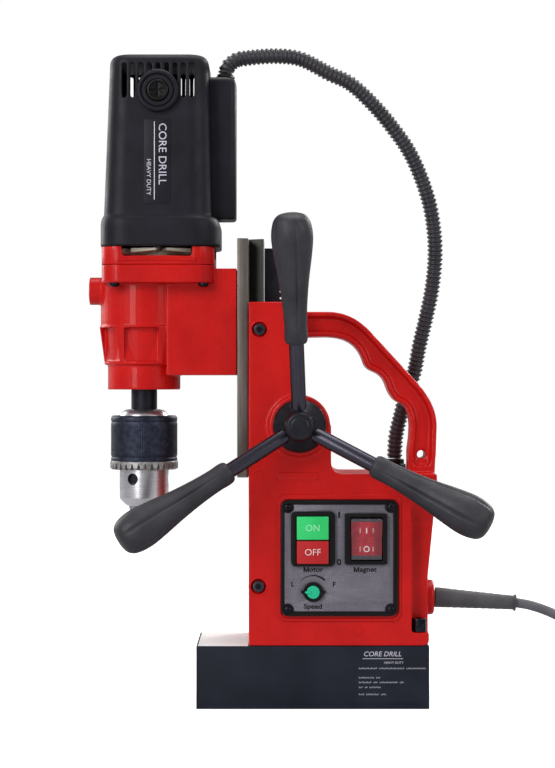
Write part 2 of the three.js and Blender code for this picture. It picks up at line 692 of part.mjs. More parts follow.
function motorHousing() {
  const { x, low, skirtTop, top, roof } = MOTOR;
  let shell = join(
    motorBody(0, low, top),
    prism(motorSquare(SKIRT.half, 20, SKIRT.x), "z", low, skirtTop, 5),
    rod(15.6, -40.7, 40.7, "y", [x + 1, 0, BRUSH_Z], 36),
  );
  shell = cut(shell, motorBody(-3.5, low - 1, roof));
  shell = shell.add(rod(11, 451, top - 2, "z", [x, 0, 0], SMALL));
  shell = cut(
    shell,
    rod(4.6, 450, 458.6, "z", [x, 0, 0], SMALL),
    rod(8.1, -45, 45, "y", [x + 1, 0, BRUSH_Z], ROUND),
  );
  for (let i = -4; i <= 4; i++) {
    const middle = x + 1.1 + i * 6;
    const slotLow = Math.abs(i) < 3 ? 455 : 434;
    shell = cut(
      shell,
      block(middle - 1.65, middle + 1.65, -45, -25, slotLow, 458.3),
      block(middle - 1.65, middle + 1.65, 25, 45, slotLow, 458.3),
    );
  }
  return shell;
}

function terminalCover() {
  const box = join(
    block(-80, -54.9, -15, 15, MOTOR.skirtTop + 0.4, 451.8),
    block(-65.4, -54.9, -15, 15, 348.8, MOTOR.skirtTop + 1),
  );
  return cut(
    box,
    motorBody(GAP, MOTOR.low, MOTOR.top),
    block(-80, -57.5, -12.5, 12.5, 356.5, 449),
    rod(4.6, 448, 453, "z", [...CONDUIT_HEAD, 0], SMALL),
  );
}

// A brush cartridge: a slotted screw cap with its carbon block, which rides on the commutator.
function brushCartridge() {
  const cap = cut(rod(7.8, -42.2, -35, "y"), block(-7, 7, -43, -40.8, -0.9, 0.9));
  return join(cap, block(-3, 3, -36, -12.6, -4, 4));
}

function armature() {
  const fastModule = (2 * (LAYSHAFT_X - MOTOR.x)) / (FAST_STAGE.pinion + FAST_STAGE.gear);
  return join(
    prism(gearOutline(FAST_STAGE.pinion, fastModule), "z", FAST_STAGE.low - 1, FAST_STAGE.high + 2, 1),
    lathed([
      [0, 285], [2, 285], [2, 297], [4, 300], [4, 352], [17, 352], [17, 364], [20.8, 364], [20.8, 408],
      [17, 408], [17, 420], [6, 424], [6, 430], [12, 430], [12, 448], [4, 448], [4, 458], [0, 458],
    ], "z", [0, 0, 0], 24),
  );
}

function coolingFan() {
  const [low, high] = [321.2, 327.5];
  let fan = join(rod(34.8, low, low + 1.2, "z", [0, 0, 0], 28), rod(9, low, high, "z", [0, 0, 0], SMALL));
  for (let i = 0; i < 16; i++) {
    const blade = new THREE.BoxGeometry(26.6, 1.1, high - low);
    blade.translate(21.1, 0, (low + high) / 2).rotateZ((i * 2 * Math.PI) / 16);
    fan = fan.add(solidOf(blade));
  }
  return cut(fan, rod(4 + GAP, low - 1, high + 1, "z", [0, 0, 0], SMALL));
}

function stator() {
  const laminations = motorSquare(30, 11);
  return cut(prism(laminations, "z", 362, 410, 3), rod(21.6, 361, 411, "z", [MOTOR.x, 0, 0], 24));
}

add(head, "motor_housing", motorHousing(), MATERIAL.blackPlastic);
add(head, "terminal_cover", terminalCover(), MATERIAL.blackPlastic);
add(head, "stator", stator(), MATERIAL.machinedSteel);
const brushes = group(head, MOTOR.x + 1, 0, BRUSH_Z);
add(brushes, "brush_front", brushCartridge(), MATERIAL.blackPlastic);
const behind = group(brushes);
behind.rotation.z = Math.PI;
add(behind, "brush_rear", brushCartridge(), MATERIAL.blackPlastic);
const rotor = group(head, MOTOR.x);
add(rotor, "armature", armature(), MATERIAL.copper);
add(rotor, "cooling_fan", coolingFan(), MATERIAL.fanMetal);

// ---------------------------------------------------------------- layshaft and spindle
function layshaft() {
  const fastModule = (2 * (LAYSHAFT_X - MOTOR.x)) / (FAST_STAGE.pinion + FAST_STAGE.gear);
  const slowModule = (2 * (LAYSHAFT_X - SPINDLE_X)) / (SLOW_STAGE.pinion + SLOW_STAGE.gear);
  const { low, high } = SLOW_STAGE;
  const fastPhase = Math.PI + Math.PI / FAST_STAGE.gear;
  const slowPhase = Math.PI + Math.PI / SLOW_STAGE.pinion;
  return join(
    prism(gearOutline(SLOW_STAGE.pinion, slowModule, slowPhase), "z", low - 1, high + 1, 1),
    prism(gearOutline(FAST_STAGE.gear, fastModule, fastPhase), "z", FAST_STAGE.low, FAST_STAGE.high, 1),
    rod(3, 250.5, 319.8, "z", [0, 0, 0], 12),
  );
}

function spindleGear() {
  const slowModule = (2 * (LAYSHAFT_X - SPINDLE_X)) / (SLOW_STAGE.pinion + SLOW_STAGE.gear);
  const { low, high } = SLOW_STAGE;
  return cut(
    prism(gearOutline(SLOW_STAGE.gear, slowModule), "z", low, high, 1),
    rod(8 + GAP, low - 1, high + 1, "z", [0, 0, 0], SMALL),
  );
}

function spindleShaft() {
  return lathed([
    [0, 188], [6, 188], [7.2, 211.9], [9.4, 212], [9.4, 262], [8, 262.3], [8, 282], [0, 282],
  ], "z", [0, 0, 0], 24);
}

function jawFrame(parent, degrees) {
  const turned = group(parent);
  turned.rotation.z = (degrees * Math.PI) / 180;
  return turned;
}

// A leaning cylinder whose axis passes JAW.offset from the spindle axis at the tip's height.
function jawCylinder(radius, from, to) {
  const geometry = new THREE.CylinderGeometry(radius, radius, to - from, SMALL);
  geometry.rotateX(Math.PI / 2).translate(0, 0, (from + to) / 2);
  geometry.rotateY((JAW.tilt * Math.PI) / 180).translate(JAW.offset, 0, JAW.tipZ);
  return geometry;
}

function jaw() {
  return cut(solidOf(jawCylinder(JAW.radius, -4, JAW.length)), block(-30, 30, -30, 30, 120, 137));
}

function chuckBody() {
  let body = lathed([
    [0, 175], [6.6, 175], [6.6, 142], [13, 142], [17.7, 146.9], [17.7, 206.6], [12, 211.7],
    [7.6, 211.7], [6.4, 187.5], [0, 187.5],
  ]);
  for (const degrees of JAW_ANGLES) {
    const turn = (degrees * Math.PI) / 180;
    body = cut(body, solidOf(jawCylinder(JAW.radius + 0.35, -12, 60).rotateZ(turn)));
    const keyHole = new THREE.CylinderGeometry(3.7, 3.7, 10, SMALL);
    keyHole.rotateZ(Math.PI / 2).translate(16.5, 0, KEY_HOLE_Z).rotateZ(turn + Math.PI / 3);
    body = cut(body, solidOf(keyHole));
  }
  return body;
}

function chuckSleeve() {
  return lathed([
    [18.1, 168.3], [23.2, 168.3], [24.6, 169.4], [24.6, 174], [24, 174.8], [24, 206], [23, 207.3],
    [18.1, 207.3], [18.1, 203], [22.2, 203], [22.2, 172.6], [18.1, 172.6], [18.1, 168.3],
  ], "z", [0, 0, 0], 36);
}

add(group(head, LAYSHAFT_X), "layshaft", layshaft(), MATERIAL.machinedSteel);
const spindle = group(head, SPINDLE_X);
add(spindle, "spindle", spindleShaft(), MATERIAL.machinedSteel);
add(spindle, "spindle_gear", spindleGear(), MATERIAL.machinedSteel);
add(spindle, "spindle_bearing", ring(9.7, 20, 228, 241, "z", [0, 0, 0], 24), MATERIAL.machinedSteel);
add(spindle, "chuck_body", chuckBody(), MATERIAL.brightSteel);
add(spindle, "chuck_sleeve", chuckSleeve(), MATERIAL.blackOxide);
JAW_ANGLES.forEach((degrees, i) => {
  add(jawFrame(spindle, degrees), `jaw_${i + 1}`, jaw(), MATERIAL.machinedSteel);
});

// ---------------------------------------------------------------- conduit from motor to column
const CONDUIT_ROUTE = [
  [-63.4, 0, 453], [-61, 0.5, 461], [-55, 1, 466], [-48.5, 2, 467.5], [-27.1, 5, 469.6], [-8.5, 8, 468],
  [13.5, 10, 457.4], [27.9, 12, 450.9], [45.1, 14, 435.7], [59.6, 16, 418.9], [71.6, 18, 402.1],
  [80.9, 20, 382.5], [87.6, 21, 361.6], [91, 22, 339.2], [91.3, 23, 320.4], [89.1, 24, 299.7],
  [85.2, 25, 280.5], [80, 26, 258.1], [76.5, 27, 239.8], [70.2, 27, 222], [66.8, 27, 209.1],
  [62.8, 27, 191.9], [61.6, 27, 172],
];

function conduitGland(from, to, across) {
  const nut = from + (to - from) * 0.6;
  const collar = 0.84 * across;
  return join(rod(across, from, nut, "z", [0, 0, 0], 6), rod(collar, nut - 1, to, "z", [0, 0, 0], SMALL));
}

function conduit() {
  return cut(
    tube(CONDUIT_ROUTE, CONDUIT_RADIUS, 8, 28),
    rod(9, 440, 455.8, "z", [...CONDUIT_HEAD, 0], SMALL),
    rod(9.4, 160, 175, "z", [...CONDUIT_FOOT, 0], SMALL),
  );
}

add(group(machine, ...CONDUIT_FOOT, 0), "conduit_gland_lower", conduitGland(166.8, 174.7, 8.6),
  MATERIAL.blackPlastic);
add(group(machine, ...CONDUIT_HEAD, 0), "conduit_gland_upper", conduitGland(452.1, 455.5, 7),
  MATERIAL.blackPlastic);
add(machine, "conduit", conduit(), MATERIAL.conduitPlastic);

// ---------------------------------------------------------------- mains cord
const CORD_ROUTE = [
  [148.9, 0, 71], [158, -0.4, 69.4], [168, -1.8, 66.4], [178, -4.6, 62.2], [187, -8.8, 56.4],
  [195.5, -14.3, 48.8], [203, -20.8, 39.4], [209.5, -27.8, 29.2], [216, -35, 19.2],
  [223, -41.6, 11.2], [231, -47.3, 6.1], [239, -51.2, 4], [243.5, -52.4, 3.6],
];

function strainRelief() {
  const relief = new THREE.LatheGeometry([
    [0, 0.9], [7.3, 0.9], [7.3, 5], [4.75, 56.5], [6, 56.8], [6, 58.6], [4.4, RELIEF.length],
    [0, RELIEF.length],
  ].map(([radius, height]) => new THREE.Vector2(radius, height)), 20);
  alongAxis(relief, "x").rotateY((RELIEF.droop * Math.PI) / 180);
  return solidOf(relief.translate(RELIEF.x, 0, RELIEF.z));
}

function powerCord() {
  return tube(CORD_ROUTE, CORD_RADIUS, 10, 14);
}

// The cord's own coil, as the plain ring that its turns fill: two layers of COIL.turns turns.
function cordCoil() {
  const outer = COIL.mid + CORD_RADIUS;
  const inner = COIL.mid - (COIL.turns - 1) * COIL.pitch - CORD_RADIUS;
  return ring(inner, outer, 0.1, COIL.pitch + 2 * CORD_RADIUS + 0.2, "z", [0, 0, 0], 40);
}

function plug() {
  const pins = [-9.5, 9.5].map((y) => rod(2.4, 63, 82, "x", [0, y, 0], 10));
  const body = lathed([
    [0, 0], [4.8, 0], [5.6, 20], [9, 22], [11, 36], [16.5, 46], [18.5, 50], [18.5, 64], [0, 64],
  ], "x", [0, 0, 0], 24);
  return join(body, ...pins);
}

add(machine, "cord_gland", ring(4.9, 12.65, BODY.right + GAP, 88.4, "x", [0, 0, RELIEF.z], 28),
  MATERIAL.redCasting);
add(machine, "strain_relief", strainRelief(), MATERIAL.cordRubber);
add(machine, "power_cord", powerCord(), MATERIAL.cordRubber);
add(group(machine, COIL.x, COIL.y, 0), "cord_coil", cordCoil(), MATERIAL.cordRubber);
const plugPlace = group(machine, PLUG.x, PLUG.y, PLUG.z);
plugPlace.rotation.y = (-PLUG.lift * Math.PI) / 180;
add(plugPlace, "plug", plug(), MATERIAL.cordRubber);

export default machine;
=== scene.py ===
"""The looks of a magnetic drill press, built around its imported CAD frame.

Shapes are given in millimetres in the frame's own axes (+X right, +Y back, +Z up) and are made
in metres. The order is: camera and cords, then each sub-part, then lights and floor.
"""
import math

import bmesh
import bpy
from mathutils import Matrix, Vector


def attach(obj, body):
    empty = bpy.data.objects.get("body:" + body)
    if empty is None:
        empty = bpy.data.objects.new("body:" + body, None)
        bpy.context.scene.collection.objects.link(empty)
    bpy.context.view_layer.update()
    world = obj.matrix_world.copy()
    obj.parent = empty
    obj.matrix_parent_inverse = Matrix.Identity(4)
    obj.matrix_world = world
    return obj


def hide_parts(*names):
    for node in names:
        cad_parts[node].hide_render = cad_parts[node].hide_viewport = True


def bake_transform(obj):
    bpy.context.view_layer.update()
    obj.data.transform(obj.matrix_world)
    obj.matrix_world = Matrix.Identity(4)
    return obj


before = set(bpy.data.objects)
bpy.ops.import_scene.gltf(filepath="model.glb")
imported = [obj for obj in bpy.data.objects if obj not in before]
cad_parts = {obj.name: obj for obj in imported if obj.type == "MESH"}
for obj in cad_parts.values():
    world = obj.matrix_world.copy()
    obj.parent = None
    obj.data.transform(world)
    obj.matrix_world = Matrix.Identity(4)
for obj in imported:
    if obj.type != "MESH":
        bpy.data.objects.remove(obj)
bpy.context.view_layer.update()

MM = 0.001
TAU = 2 * math.pi

# Places in millimetres. FRONT is the front face of the magnet and of the casting.
FEED = Vector((-9.5, 0.0, 200.7))
SPINDLE_X = -122.0
MOTOR_X = -111.0
BRUSH_X, BRUSH_Z = MOTOR_X + 1, 438.4
FLANGE_X = -110.5
GLAND_Z = 75.2
FRONT = -40.0


# ---------------------------------------------------------------- mesh tools
def link(name, data):
    made = bpy.data.objects.new(name, data)
    bpy.context.scene.collection.objects.link(made)
    return made


def mesh_object(name, points, faces):
    """A mesh from points in millimetres, with its faces turned outwards."""
    data = bpy.data.meshes.new(name)
    data.from_pydata([tuple(c * MM for c in p) for p in points], [], faces)
    work = bmesh.new()
    work.from_mesh(data)
    bmesh.ops.recalc_face_normals(work, faces=work.faces)
    work.to_mesh(data)
    work.free()
    return link(name, data)


def smooth(piece, angle=32):
    piece.data.shade_smooth()
    piece.data.set_sharp_from_angle(angle=math.radians(angle))
    return piece


def bake(piece):
    """Applies a piece's modifiers to its mesh."""
    graph = bpy.context.evaluated_depsgraph_get()
    data = bpy.data.meshes.new_from_object(piece.evaluated_get(graph))
    piece.modifiers.clear()
    piece.data = data
    return piece


def bevel(piece, width, segments=3, angle=30):
    """Rounds a piece's edges; the width is in millimetres."""
    edge = piece.modifiers.new("edges", "BEVEL")
    edge.width = width * MM
    edge.segments = segments
    edge.limit_method = "ANGLE"
    edge.angle_limit = math.radians(angle)
    edge.use_clamp_overlap = True
    edge.miter_outer = "MITER_ARC"
    bake(piece)
    return smooth(piece, 40)


def boolean(piece, tools, operation="DIFFERENCE"):
    """Cuts a piece by other pieces, or joins them to it, and removes them."""
    for tool in tools:
        step = piece.modifiers.new(operation, "BOOLEAN")
        step.operation = operation
        step.solver = "EXACT"
        step.object = tool
        bake(piece)
        bpy.data.objects.remove(tool)
    return piece


def together(name, parts):
    """Several pieces as one mesh, without joining their surfaces."""
    work = bmesh.new()
    for part in parts:
        data = part.data.copy()
        data.transform(part.matrix_world)
        work.from_mesh(data)
        bpy.data.objects.remove(part)
    data = bpy.data.meshes.new(name)
    work.to_mesh(data)
    work.free()
    return link(name, data)


def cast(piece, voxel, passes=4):
    """Fuses a piece into one skin with soft edges, as a casting or a moulding has."""
    skin = piece.modifiers.new("skin", "REMESH")
    skin.mode = "VOXEL"
    skin.voxel_size = voxel * MM
    relax = piece.modifiers.new("relax", "SMOOTH")
    relax.factor = 0.5
    relax.iterations = passes
    bake(piece)
    piece.data.shade_smooth()
    return piece


def cad_copy(name, *nodes):
    """The meshes of CAD nodes as a new piece, with their doubled points merged."""
    work = bmesh.new()
    for node in nodes:
        work.from_mesh(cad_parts[node].data)
    bmesh.ops.remove_doubles(work, verts=work.verts, dist=1e-6)
    data = bpy.data.meshes.new(name)
    work.to_mesh(data)
    work.free()
    return link(name, data)


def on_axis(axis, along, u, v):
    """A point at a distance along an axis: (x, y) for Z, (x, z) for Y, (y, z) for X."""
    if axis == "Z":
        return (u, v, along)
    if axis == "Y":
        return (u, along, v)
    return (along, u, v)


def loft(name, sections):
    """A closed skin over rings that have the same number of points."""
    count = len(sections[0])
    last = (len(sections) - 1) * count
    points = [p for section in sections for p in section]
    faces = [tuple(range(count - 1, -1, -1))]
    for a in range(0, last, count):
        for i in range(count):
            j = (i + 1) % count
            faces.append((a + i, a + j, a + count + j, a + count + i))
    faces.append(tuple(range(last, last + count)))
    return mesh_object(name, points, faces)


def prism(name, outline, axis, low, high):
    count = len(outline)
    points = [on_axis(axis, end, u, v) for end in (low, high) for u, v in outline]
    faces = [tuple(range(count)), tuple(range(2 * count - 1, count - 1, -1))]
    for i in range(count):
        j = (i + 1) % count
        faces.append((i, j, count + j, count + i))
    return mesh_object(name, points, faces)


def box(name, x0, x1, y0, y1, z0, z1):
    return prism(name, [(x0, y0), (x1, y0), (x1, y1), (x0, y1)], "Z", z0, z1)


def rounded_rect(u0, u1, v0, v1, radius, steps=8):
    corners = [
        (u1 - radius, v0 + radius, -90),
        (u1 - radius, v1 - radius, 0),
        (u0 + radius, v1 - radius, 90),
        (u0 + radius, v0 + radius, 180),
    ]
    outline = []
    for u, v, start in corners:
        for i in range(steps + 1):
            turn = math.radians(start + 90 * i / steps)
            outline.append((u + radius * math.cos(turn), v + radius * math.sin(turn)))
    return outline


def filleted(profile, radius, steps=4):
    """A profile with its corners rounded; a third number in a point overrides the radius."""
    out = [tuple(profile[0][:2])]
    for before, corner, after in zip(profile, profile[1:], profile[2:]):
        middle = Vector(corner[:2])
        to_before = Vector(before[:2]) - middle
        to_after = Vector(after[:2]) - middle
        wanted = corner[2] if len(corner) > 2 else radius
        reach = min(wanted, 0.45 * to_before.length, 0.45 * to_after.length)
        if reach < 0.02:
            out.append(tuple(middle))
            continue
        start = middle + to_before.normalized() * reach
        end = middle + to_after.normalized() * reach
        for i in range(steps + 1):
            t = i / steps
            bent = start * (1 - t) ** 2 + middle * (2 * t * (1 - t)) + end * t**2
            out.append(tuple(bent))
    out.append(tuple(profile[-1][:2]))
    return out


def lathe(name, profile, axis="Z", at=(0, 0, 0), sides=96, fillet=0.5, shape=None):
    """A turned piece: the profile is (radius, height), closed on itself or on the axis.

    shape(radius, height, turn) may change the radius around the axis.
    """
    line = filleted(profile, fillet)
    closed = (Vector(line[0]) - Vector(line[-1])).length < 1e-6 and line[0][0] > 1e-6
    if closed:
        line = line[:-1]
    points, rings = [], []
    for radius, height in line:
        if radius < 1e-6:
            rings.append([len(points)])
            points.append((0.0, 0.0, height))
            continue
        first = len(points)
        for i in range(sides):
            turn = TAU * i / sides
            r = shape(radius, height, turn) if shape else radius
            points.append((r * math.cos(turn), r * math.sin(turn), height))
        rings.append(list(range(first, first + sides)))
    faces = []
    pairs = list(zip(rings, rings[1:] + ([rings[0]] if closed else [])))
    for a, b in pairs:
        for i in range(sides):
            j = (i + 1) % sides
            if len(a) == 1 and len(b) == 1:
                break
            if len(a) == 1:
                faces.append((a[0], b[j], b[i]))
            elif len(b) == 1:
                faces.append((a[i], a[j], b[0]))
            else:
                faces.append((a[i], a[j], b[j], b[i]))
    placed = []
    for u, v, height in points:
        x, y, z = on_axis(axis, height, u, v)
        placed.append((x + at[0], y + at[1], z + at[2]))
    return smooth(mesh_object(name, placed, faces))


def rod(name, radius, low, high, axis="Z", at=(0, 0, 0), sides=64, fillet=0.4):
    profile = [(0, low), (radius, low), (radius, high), (0, high)]
    return lathe(name, profile, axis, at, sides, fillet)


def catmull(points, per_span=12):
    """Evenly eased points on a centripetal curve through the given ones."""
    def between(a, b, start, end):
        return a * ((end - t) / (end - start)) + b * ((t - start) / (end - start))
    line = [Vector(p) for p in points]
    line = [line[0] * 2 - line[1]] + line + [line[-1] * 2 - line[-2]]
    out = []
    for p0, p1, p2, p3 in zip(line, line[1:], line[2:], line[3:]):
        t0 = 0.0
        t1 = t0 + math.sqrt((p1 - p0).length)
        t2 = t1 + math.sqrt((p2 - p1).length)
        t3 = t2 + math.sqrt((p3 - p2).length)
        for i in range(per_span):
            t = t1 + (t2 - t1) * i / per_span
            a1, a2, a3 = between(p0, p1, t0, t1), between(p1, p2, t1, t2), between(p2, p3, t2, t3)
            out.append(between(between(a1, a2, t0, t2), between(a2, a3, t1, t3), t1, t2))
    out.append(line[-2])
    return out


def spaced(line, step):
    """The same line with its points a fixed distance apart."""
    lengths = [0.0]
    for a, b in zip(line, line[1:]):
        lengths.append(lengths[-1] + (b - a).length)
    count = max(2, round(lengths[-1] / step))
    out, k = [], 0
    for i in range(count + 1):
        want = lengths[-1] * i / count
        while k < len(line) - 2 and lengths[k + 1] < want:
            k += 1
        span = lengths[k + 1] - lengths[k]
        out.append(line[k].lerp(line[k + 1], (want - lengths[k]) / span if span else 0))
    return out


def line_length(line):
    return sum((b - a).length for a, b in zip(line, line[1:]))


def tube(name, line, radius_at, sides=24):
    """A capped tube along a line, with a radius that may change along it."""
    rings = []
    for i, centre in enumerate(line):
        ahead = line[min(i + 1, len(line) - 1)] - line[max(i - 1, 0)]
        ahead.normalize()
        if i == 0:
            side = ahead.orthogonal().normalized()
        side = (side - ahead * side.dot(ahead)).normalized()
        up = ahead.cross(side)
        turns = [TAU * k / sides for k in range(sides)]
        rings.append([centre + (side * math.cos(t) + up * math.sin(t)) * radius_at(i) for t in turns])
    return smooth(loft(name, rings), 60)


def shift(x, y, z):
    """A move by millimetres."""
    return Matrix.Translation(Vector((x, y, z)) * MM)


def turned(degrees, axis):
    return Matrix.Rotation(math.radians(degrees), 4, axis)


def washer(inner, outer, low, high):
    """The closed profile of a flat ring, for lathe."""
    return [(inner, low), (outer, low), (outer, high), (inner, high), (inner, low)]


def cross_recess(u, v, long, thin, axis, low, high):
    """Two crossing slots, as cutting tools."""
    tools = []
    for half_u, half_v in ((long, thin), (thin, long)):
        corners = [(u - half_u, v - half_v), (u + half_u, v - half_v),
                   (u + half_u, v + half_v), (u - half_u, v + half_v)]
        tools.append(prism("slot", corners, axis, low, high))
    return tools


def split_seat(seat, axis):
    """A seat as its place along an axis, its two other coordinates, and its point on that axis' zero."""
    index = "XYZ".index(axis)
    across = [seat[i] for i in range(3) if i != index]
    at = [0 if i == index else seat[i] for i in range(3)]
    return seat[index], across, at


# ---------------------------------------------------------------- materials
class Look:
    """A node material under construction."""

    def __init__(self, name, roughness=0.5, metallic=0.0, **sockets):
        self.material = bpy.data.materials.new(name)
        self.material.use_nodes = True
        self.tree = self.material.node_tree
        self.shader = self.tree.nodes["Principled BSDF"]
        self.shader.inputs["Roughness"].default_value = roughness
        self.shader.inputs["Metallic"].default_value = metallic
        for socket, value in sockets.items():
            self.shader.inputs[socket.replace("_", " ")].default_value = value
        self.place = self.node("ShaderNodeTexCoord").outputs["Object"]

    def node(self, kind, **settings):
        made = self.tree.nodes.new(kind)
        for name, value in settings.items():
            setattr(made, name, value)
        return made

    def wire(self, source, target):
        self.tree.links.new(source, target)

    def stretched(self, x=1.0, y=1.0, z=1.0):
        """Coordinates squeezed along an axis, for grain that runs along another."""
        mapping = self.node("ShaderNodeMapping")
        mapping.inputs["Scale"].default_value = (x, y, z)
        self.wire(self.place, mapping.inputs["Vector"])
        return mapping.outputs["Vector"]

    def noise(self, scale, detail=4.0, rough=0.5, place=None):
        made = self.node("ShaderNodeTexNoise")
        made.inputs["Scale"].default_value = scale
        made.inputs["Detail"].default_value = detail
        made.inputs["Roughness"].default_value = rough
        self.wire(place or self.place, made.inputs["Vector"])
        return made.outputs["Fac"]

    def ramp(self, value, low, high, from_low=0.3, from_high=0.7):
        made = self.node("ShaderNodeMapRange")
        made.inputs["From Min"].default_value = from_low
        made.inputs["From Max"].default_value = from_high
        made.inputs["To Min"].default_value = low
        made.inputs["To Max"].default_value = high
        self.wire(value, made.inputs["Value"])
        return made.outputs["Result"]

    def mixed(self, factor, first, second):
        made = self.node("ShaderNodeMix", data_type="RGBA")
        self.wire(factor, made.inputs["Factor"])
        for socket, value in ((made.inputs[6], first), (made.inputs[7], second)):
            if isinstance(value, tuple):
                socket.default_value = (*value, 1)
            else:
                self.wire(value, socket)
        return made.outputs[2]

    def tones(self, value, first, second):
        """One screen colour where the value is low, and another where it is high."""
        return self.mixed(self.ramp(value, 0, 1), tone(*first), tone(*second))

    def along(self, axis, low, high, start, end):
        """A value that changes over a stretch of the piece's own axis, in metres."""
        split = self.node("ShaderNodeSeparateXYZ")
        self.wire(self.place, split.inputs[0])
        return self.ramp(split.outputs[axis], low, high, start, end)

    def colour(self, source):
        self.wire(source, self.shader.inputs["Base Color"])

    def roughness(self, source):
        self.wire(source, self.shader.inputs["Roughness"])

    def dulled(self, scale, detail, low, high):
        """A roughness that drifts between two values."""
        self.roughness(self.ramp(self.noise(scale, detail), low, high))

    def flecked(self, value, amount, start, end, base, colour):
        """Another screen colour over the base where the value is high."""
        return self.mixed(self.ramp(value, 0, amount, start, end), base, tone(*colour))

    def bumps(self, layers):
        """Bump layers as (height, depth in millimetres), one on another."""
        normal = None
        for height, depth in layers:
            bump = self.node("ShaderNodeBump")
            bump.inputs["Strength"].default_value = 1.0
            bump.inputs["Distance"].default_value = depth * MM
            self.wire(height, bump.inputs["Height"])
            if normal:
                self.wire(normal, bump.inputs["Normal"])
            normal = bump.outputs["Normal"]
        self.wire(normal, self.shader.inputs["Normal"])


def tone(red, green, blue):
    """A colour given as it looks on a screen, 0 to 255, in linear light."""
    def linear(value):
        value /= 255
        return value / 12.92 if value <= 0.04045 else ((value + 0.055) / 1.055) ** 2.4
    return (linear(red), linear(green), linear(blue))


def red_paint():
    """Glossy enamel over a casting: orange peel, faint mottling, dust dulling."""
    look = Look("red_enamel", Specular_IOR_Level=0.12, Coat_Weight=0.14, Coat_Roughness=0.12)
    mottled = look.noise(38, 3)
    fine = look.noise(420, 2)
    base = look.tones(mottled, (180, 16, 15), (196, 22, 19))
    look.colour(look.flecked(fine, 0.22, 0.55, 0.8, base, (140, 13, 12)))
    look.dulled(90, 4, 0.30, 0.46)
    look.bumps([(look.noise(330, 3), 0.16), (look.noise(70, 3), 0.12), (look.noise(1500, 2), 0.04)])
    return look.material


def magnet_paint():
    """Satin blue-black powder coat, faintly mottled and grained."""
    look = Look("magnet_coat", Specular_IOR_Level=0.22)
    grain = look.noise(2200, 2)
    patches = look.noise(30, 4)
    coat = look.tones(patches, (16, 19, 30), (27, 31, 45))
    look.colour(look.flecked(grain, 0.5, 0.55, 0.8, coat, (44, 49, 64)))
    look.dulled(60, 4, 0.40, 0.58)
    look.bumps([(grain, 0.04), (look.noise(250, 3), 0.06)])
    return look.material


def plastic(name, dark, light, rough=(0.45, 0.62), grain=0.05, scale=1600, gloss=0.4):
    """Moulded plastic with a fine spark-eroded texture."""
    look = Look(name, Specular_IOR_Level=gloss)
    look.colour(look.tones(look.noise(45, 4), dark, light))
    look.dulled(70, 4, rough[0], rough[1])
    look.bumps([(look.noise(scale, 2), grain), (look.noise(260, 3), grain * 1.5)])
    return look.material


def ground_steel():
    """Surface-ground plate: fine lines along the slide, painted shade on the dovetail behind its face and a
    painted highlight along its back edge.
    """
    look = Look("ground_steel", metallic=0.9)
    lines = look.noise(900, 3, place=look.stretched(1, 1, 0.03))
    stains = look.noise(26, 5)
    base = look.tones(stains, (112, 106, 100), (138, 131, 124))
    # Painted shade: the dovetail behind the slide's face is darkened from X -45.4 mm back.
    base = look.mixed(look.along("X", 0, 1, -0.0456, -0.0452), base, tone(34, 36, 33))
    # Painted highlight: a light line along the dovetail's back edge, from X -35 mm back.
    base = look.mixed(look.along("X", 0, 1, -0.0352, -0.0348), base, tone(150, 146, 142))
    look.colour(look.mixed(look.ramp(lines, 0, 0.5), base, tone(46, 44, 42)))
    look.roughness(look.ramp(lines, 0.34, 0.5))
    look.bumps([(lines, 0.03)])
    return look.material


def turned_steel(name, dark, light, rough=(0.14, 0.3), axis_scale=(1, 1, 40)):
    """Lathe-turned steel: rings round the axis, fine scratches."""
    look = Look(name, metallic=1.0)
    rings = look.noise(60, 3, place=look.stretched(*axis_scale))
    look.colour(look.tones(rings, dark, light))
    look.roughness(look.ramp(look.noise(500, 3, place=look.stretched(*axis_scale)), *rough))
    look.bumps([(rings, 0.015)])
    return look.material


def milled_face():
    """A bright milled face, matt with fine cutter marks."""
    look = Look("milled_face", Specular_IOR_Level=0.6)
    marks = look.noise(240, 3, place=look.stretched(1, 0.06, 1))
    look.colour(look.tones(marks, (251, 251, 250), (255, 255, 255)))
    look.dulled(300, 3, 0.3, 0.45)
    look.bumps([(marks, 0.02)])
    return look.material


def black_oxide():
    """Blackened steel with a faint blue and brown drift and bright worn specks."""
    look = Look("black_oxide", metallic=0.85)
    drift = look.noise(60, 4)
    base = look.tones(drift, (30, 31, 38), (48, 48, 54))
    specks = look.ramp(look.noise(700, 4), 0, 0.6, 0.68, 0.8)
    look.colour(look.mixed(specks, base, tone(96, 94, 93)))
    look.dulled(200, 4, 0.32, 0.5)
    look.bumps([(look.noise(900, 3), 0.03)])
    return look.material


def black_screw():
    """Bright-rubbed black zinc, for screw heads."""
    look = Look("black_screw", metallic=1.0)
    drift = look.noise(160, 4)
    base = look.tones(drift, (30, 31, 37), (50, 50, 57))
    look.colour(look.flecked(look.noise(900, 3), 0.5, 0.6, 0.8, base, (112, 110, 112)))
    look.dulled(400, 4, 0.16, 0.3)
    look.bumps([(look.noise(1500, 3), 0.02)])
    return look.material


def panel_plate():
    """Satin anodised sheet with a brushed grain across it."""
    look = Look("panel_plate", metallic=0.55)
    grain = look.noise(700, 4, place=look.stretched(0.12, 1, 1))
    base = look.tones(look.noise(50, 4), (106, 103, 114), (124, 120, 130))
    specks = look.ramp(look.noise(1500, 3), 0, 0.9, 0.56, 0.72)
    base = look.mixed(specks, base, tone(168, 165, 174))
    look.colour(look.mixed(look.ramp(grain, 0, 0.22), base, tone(84, 81, 90)))
    look.roughness(look.ramp(grain, 0.38, 0.52))
    look.bumps([(grain, 0.02)])
    return look.material


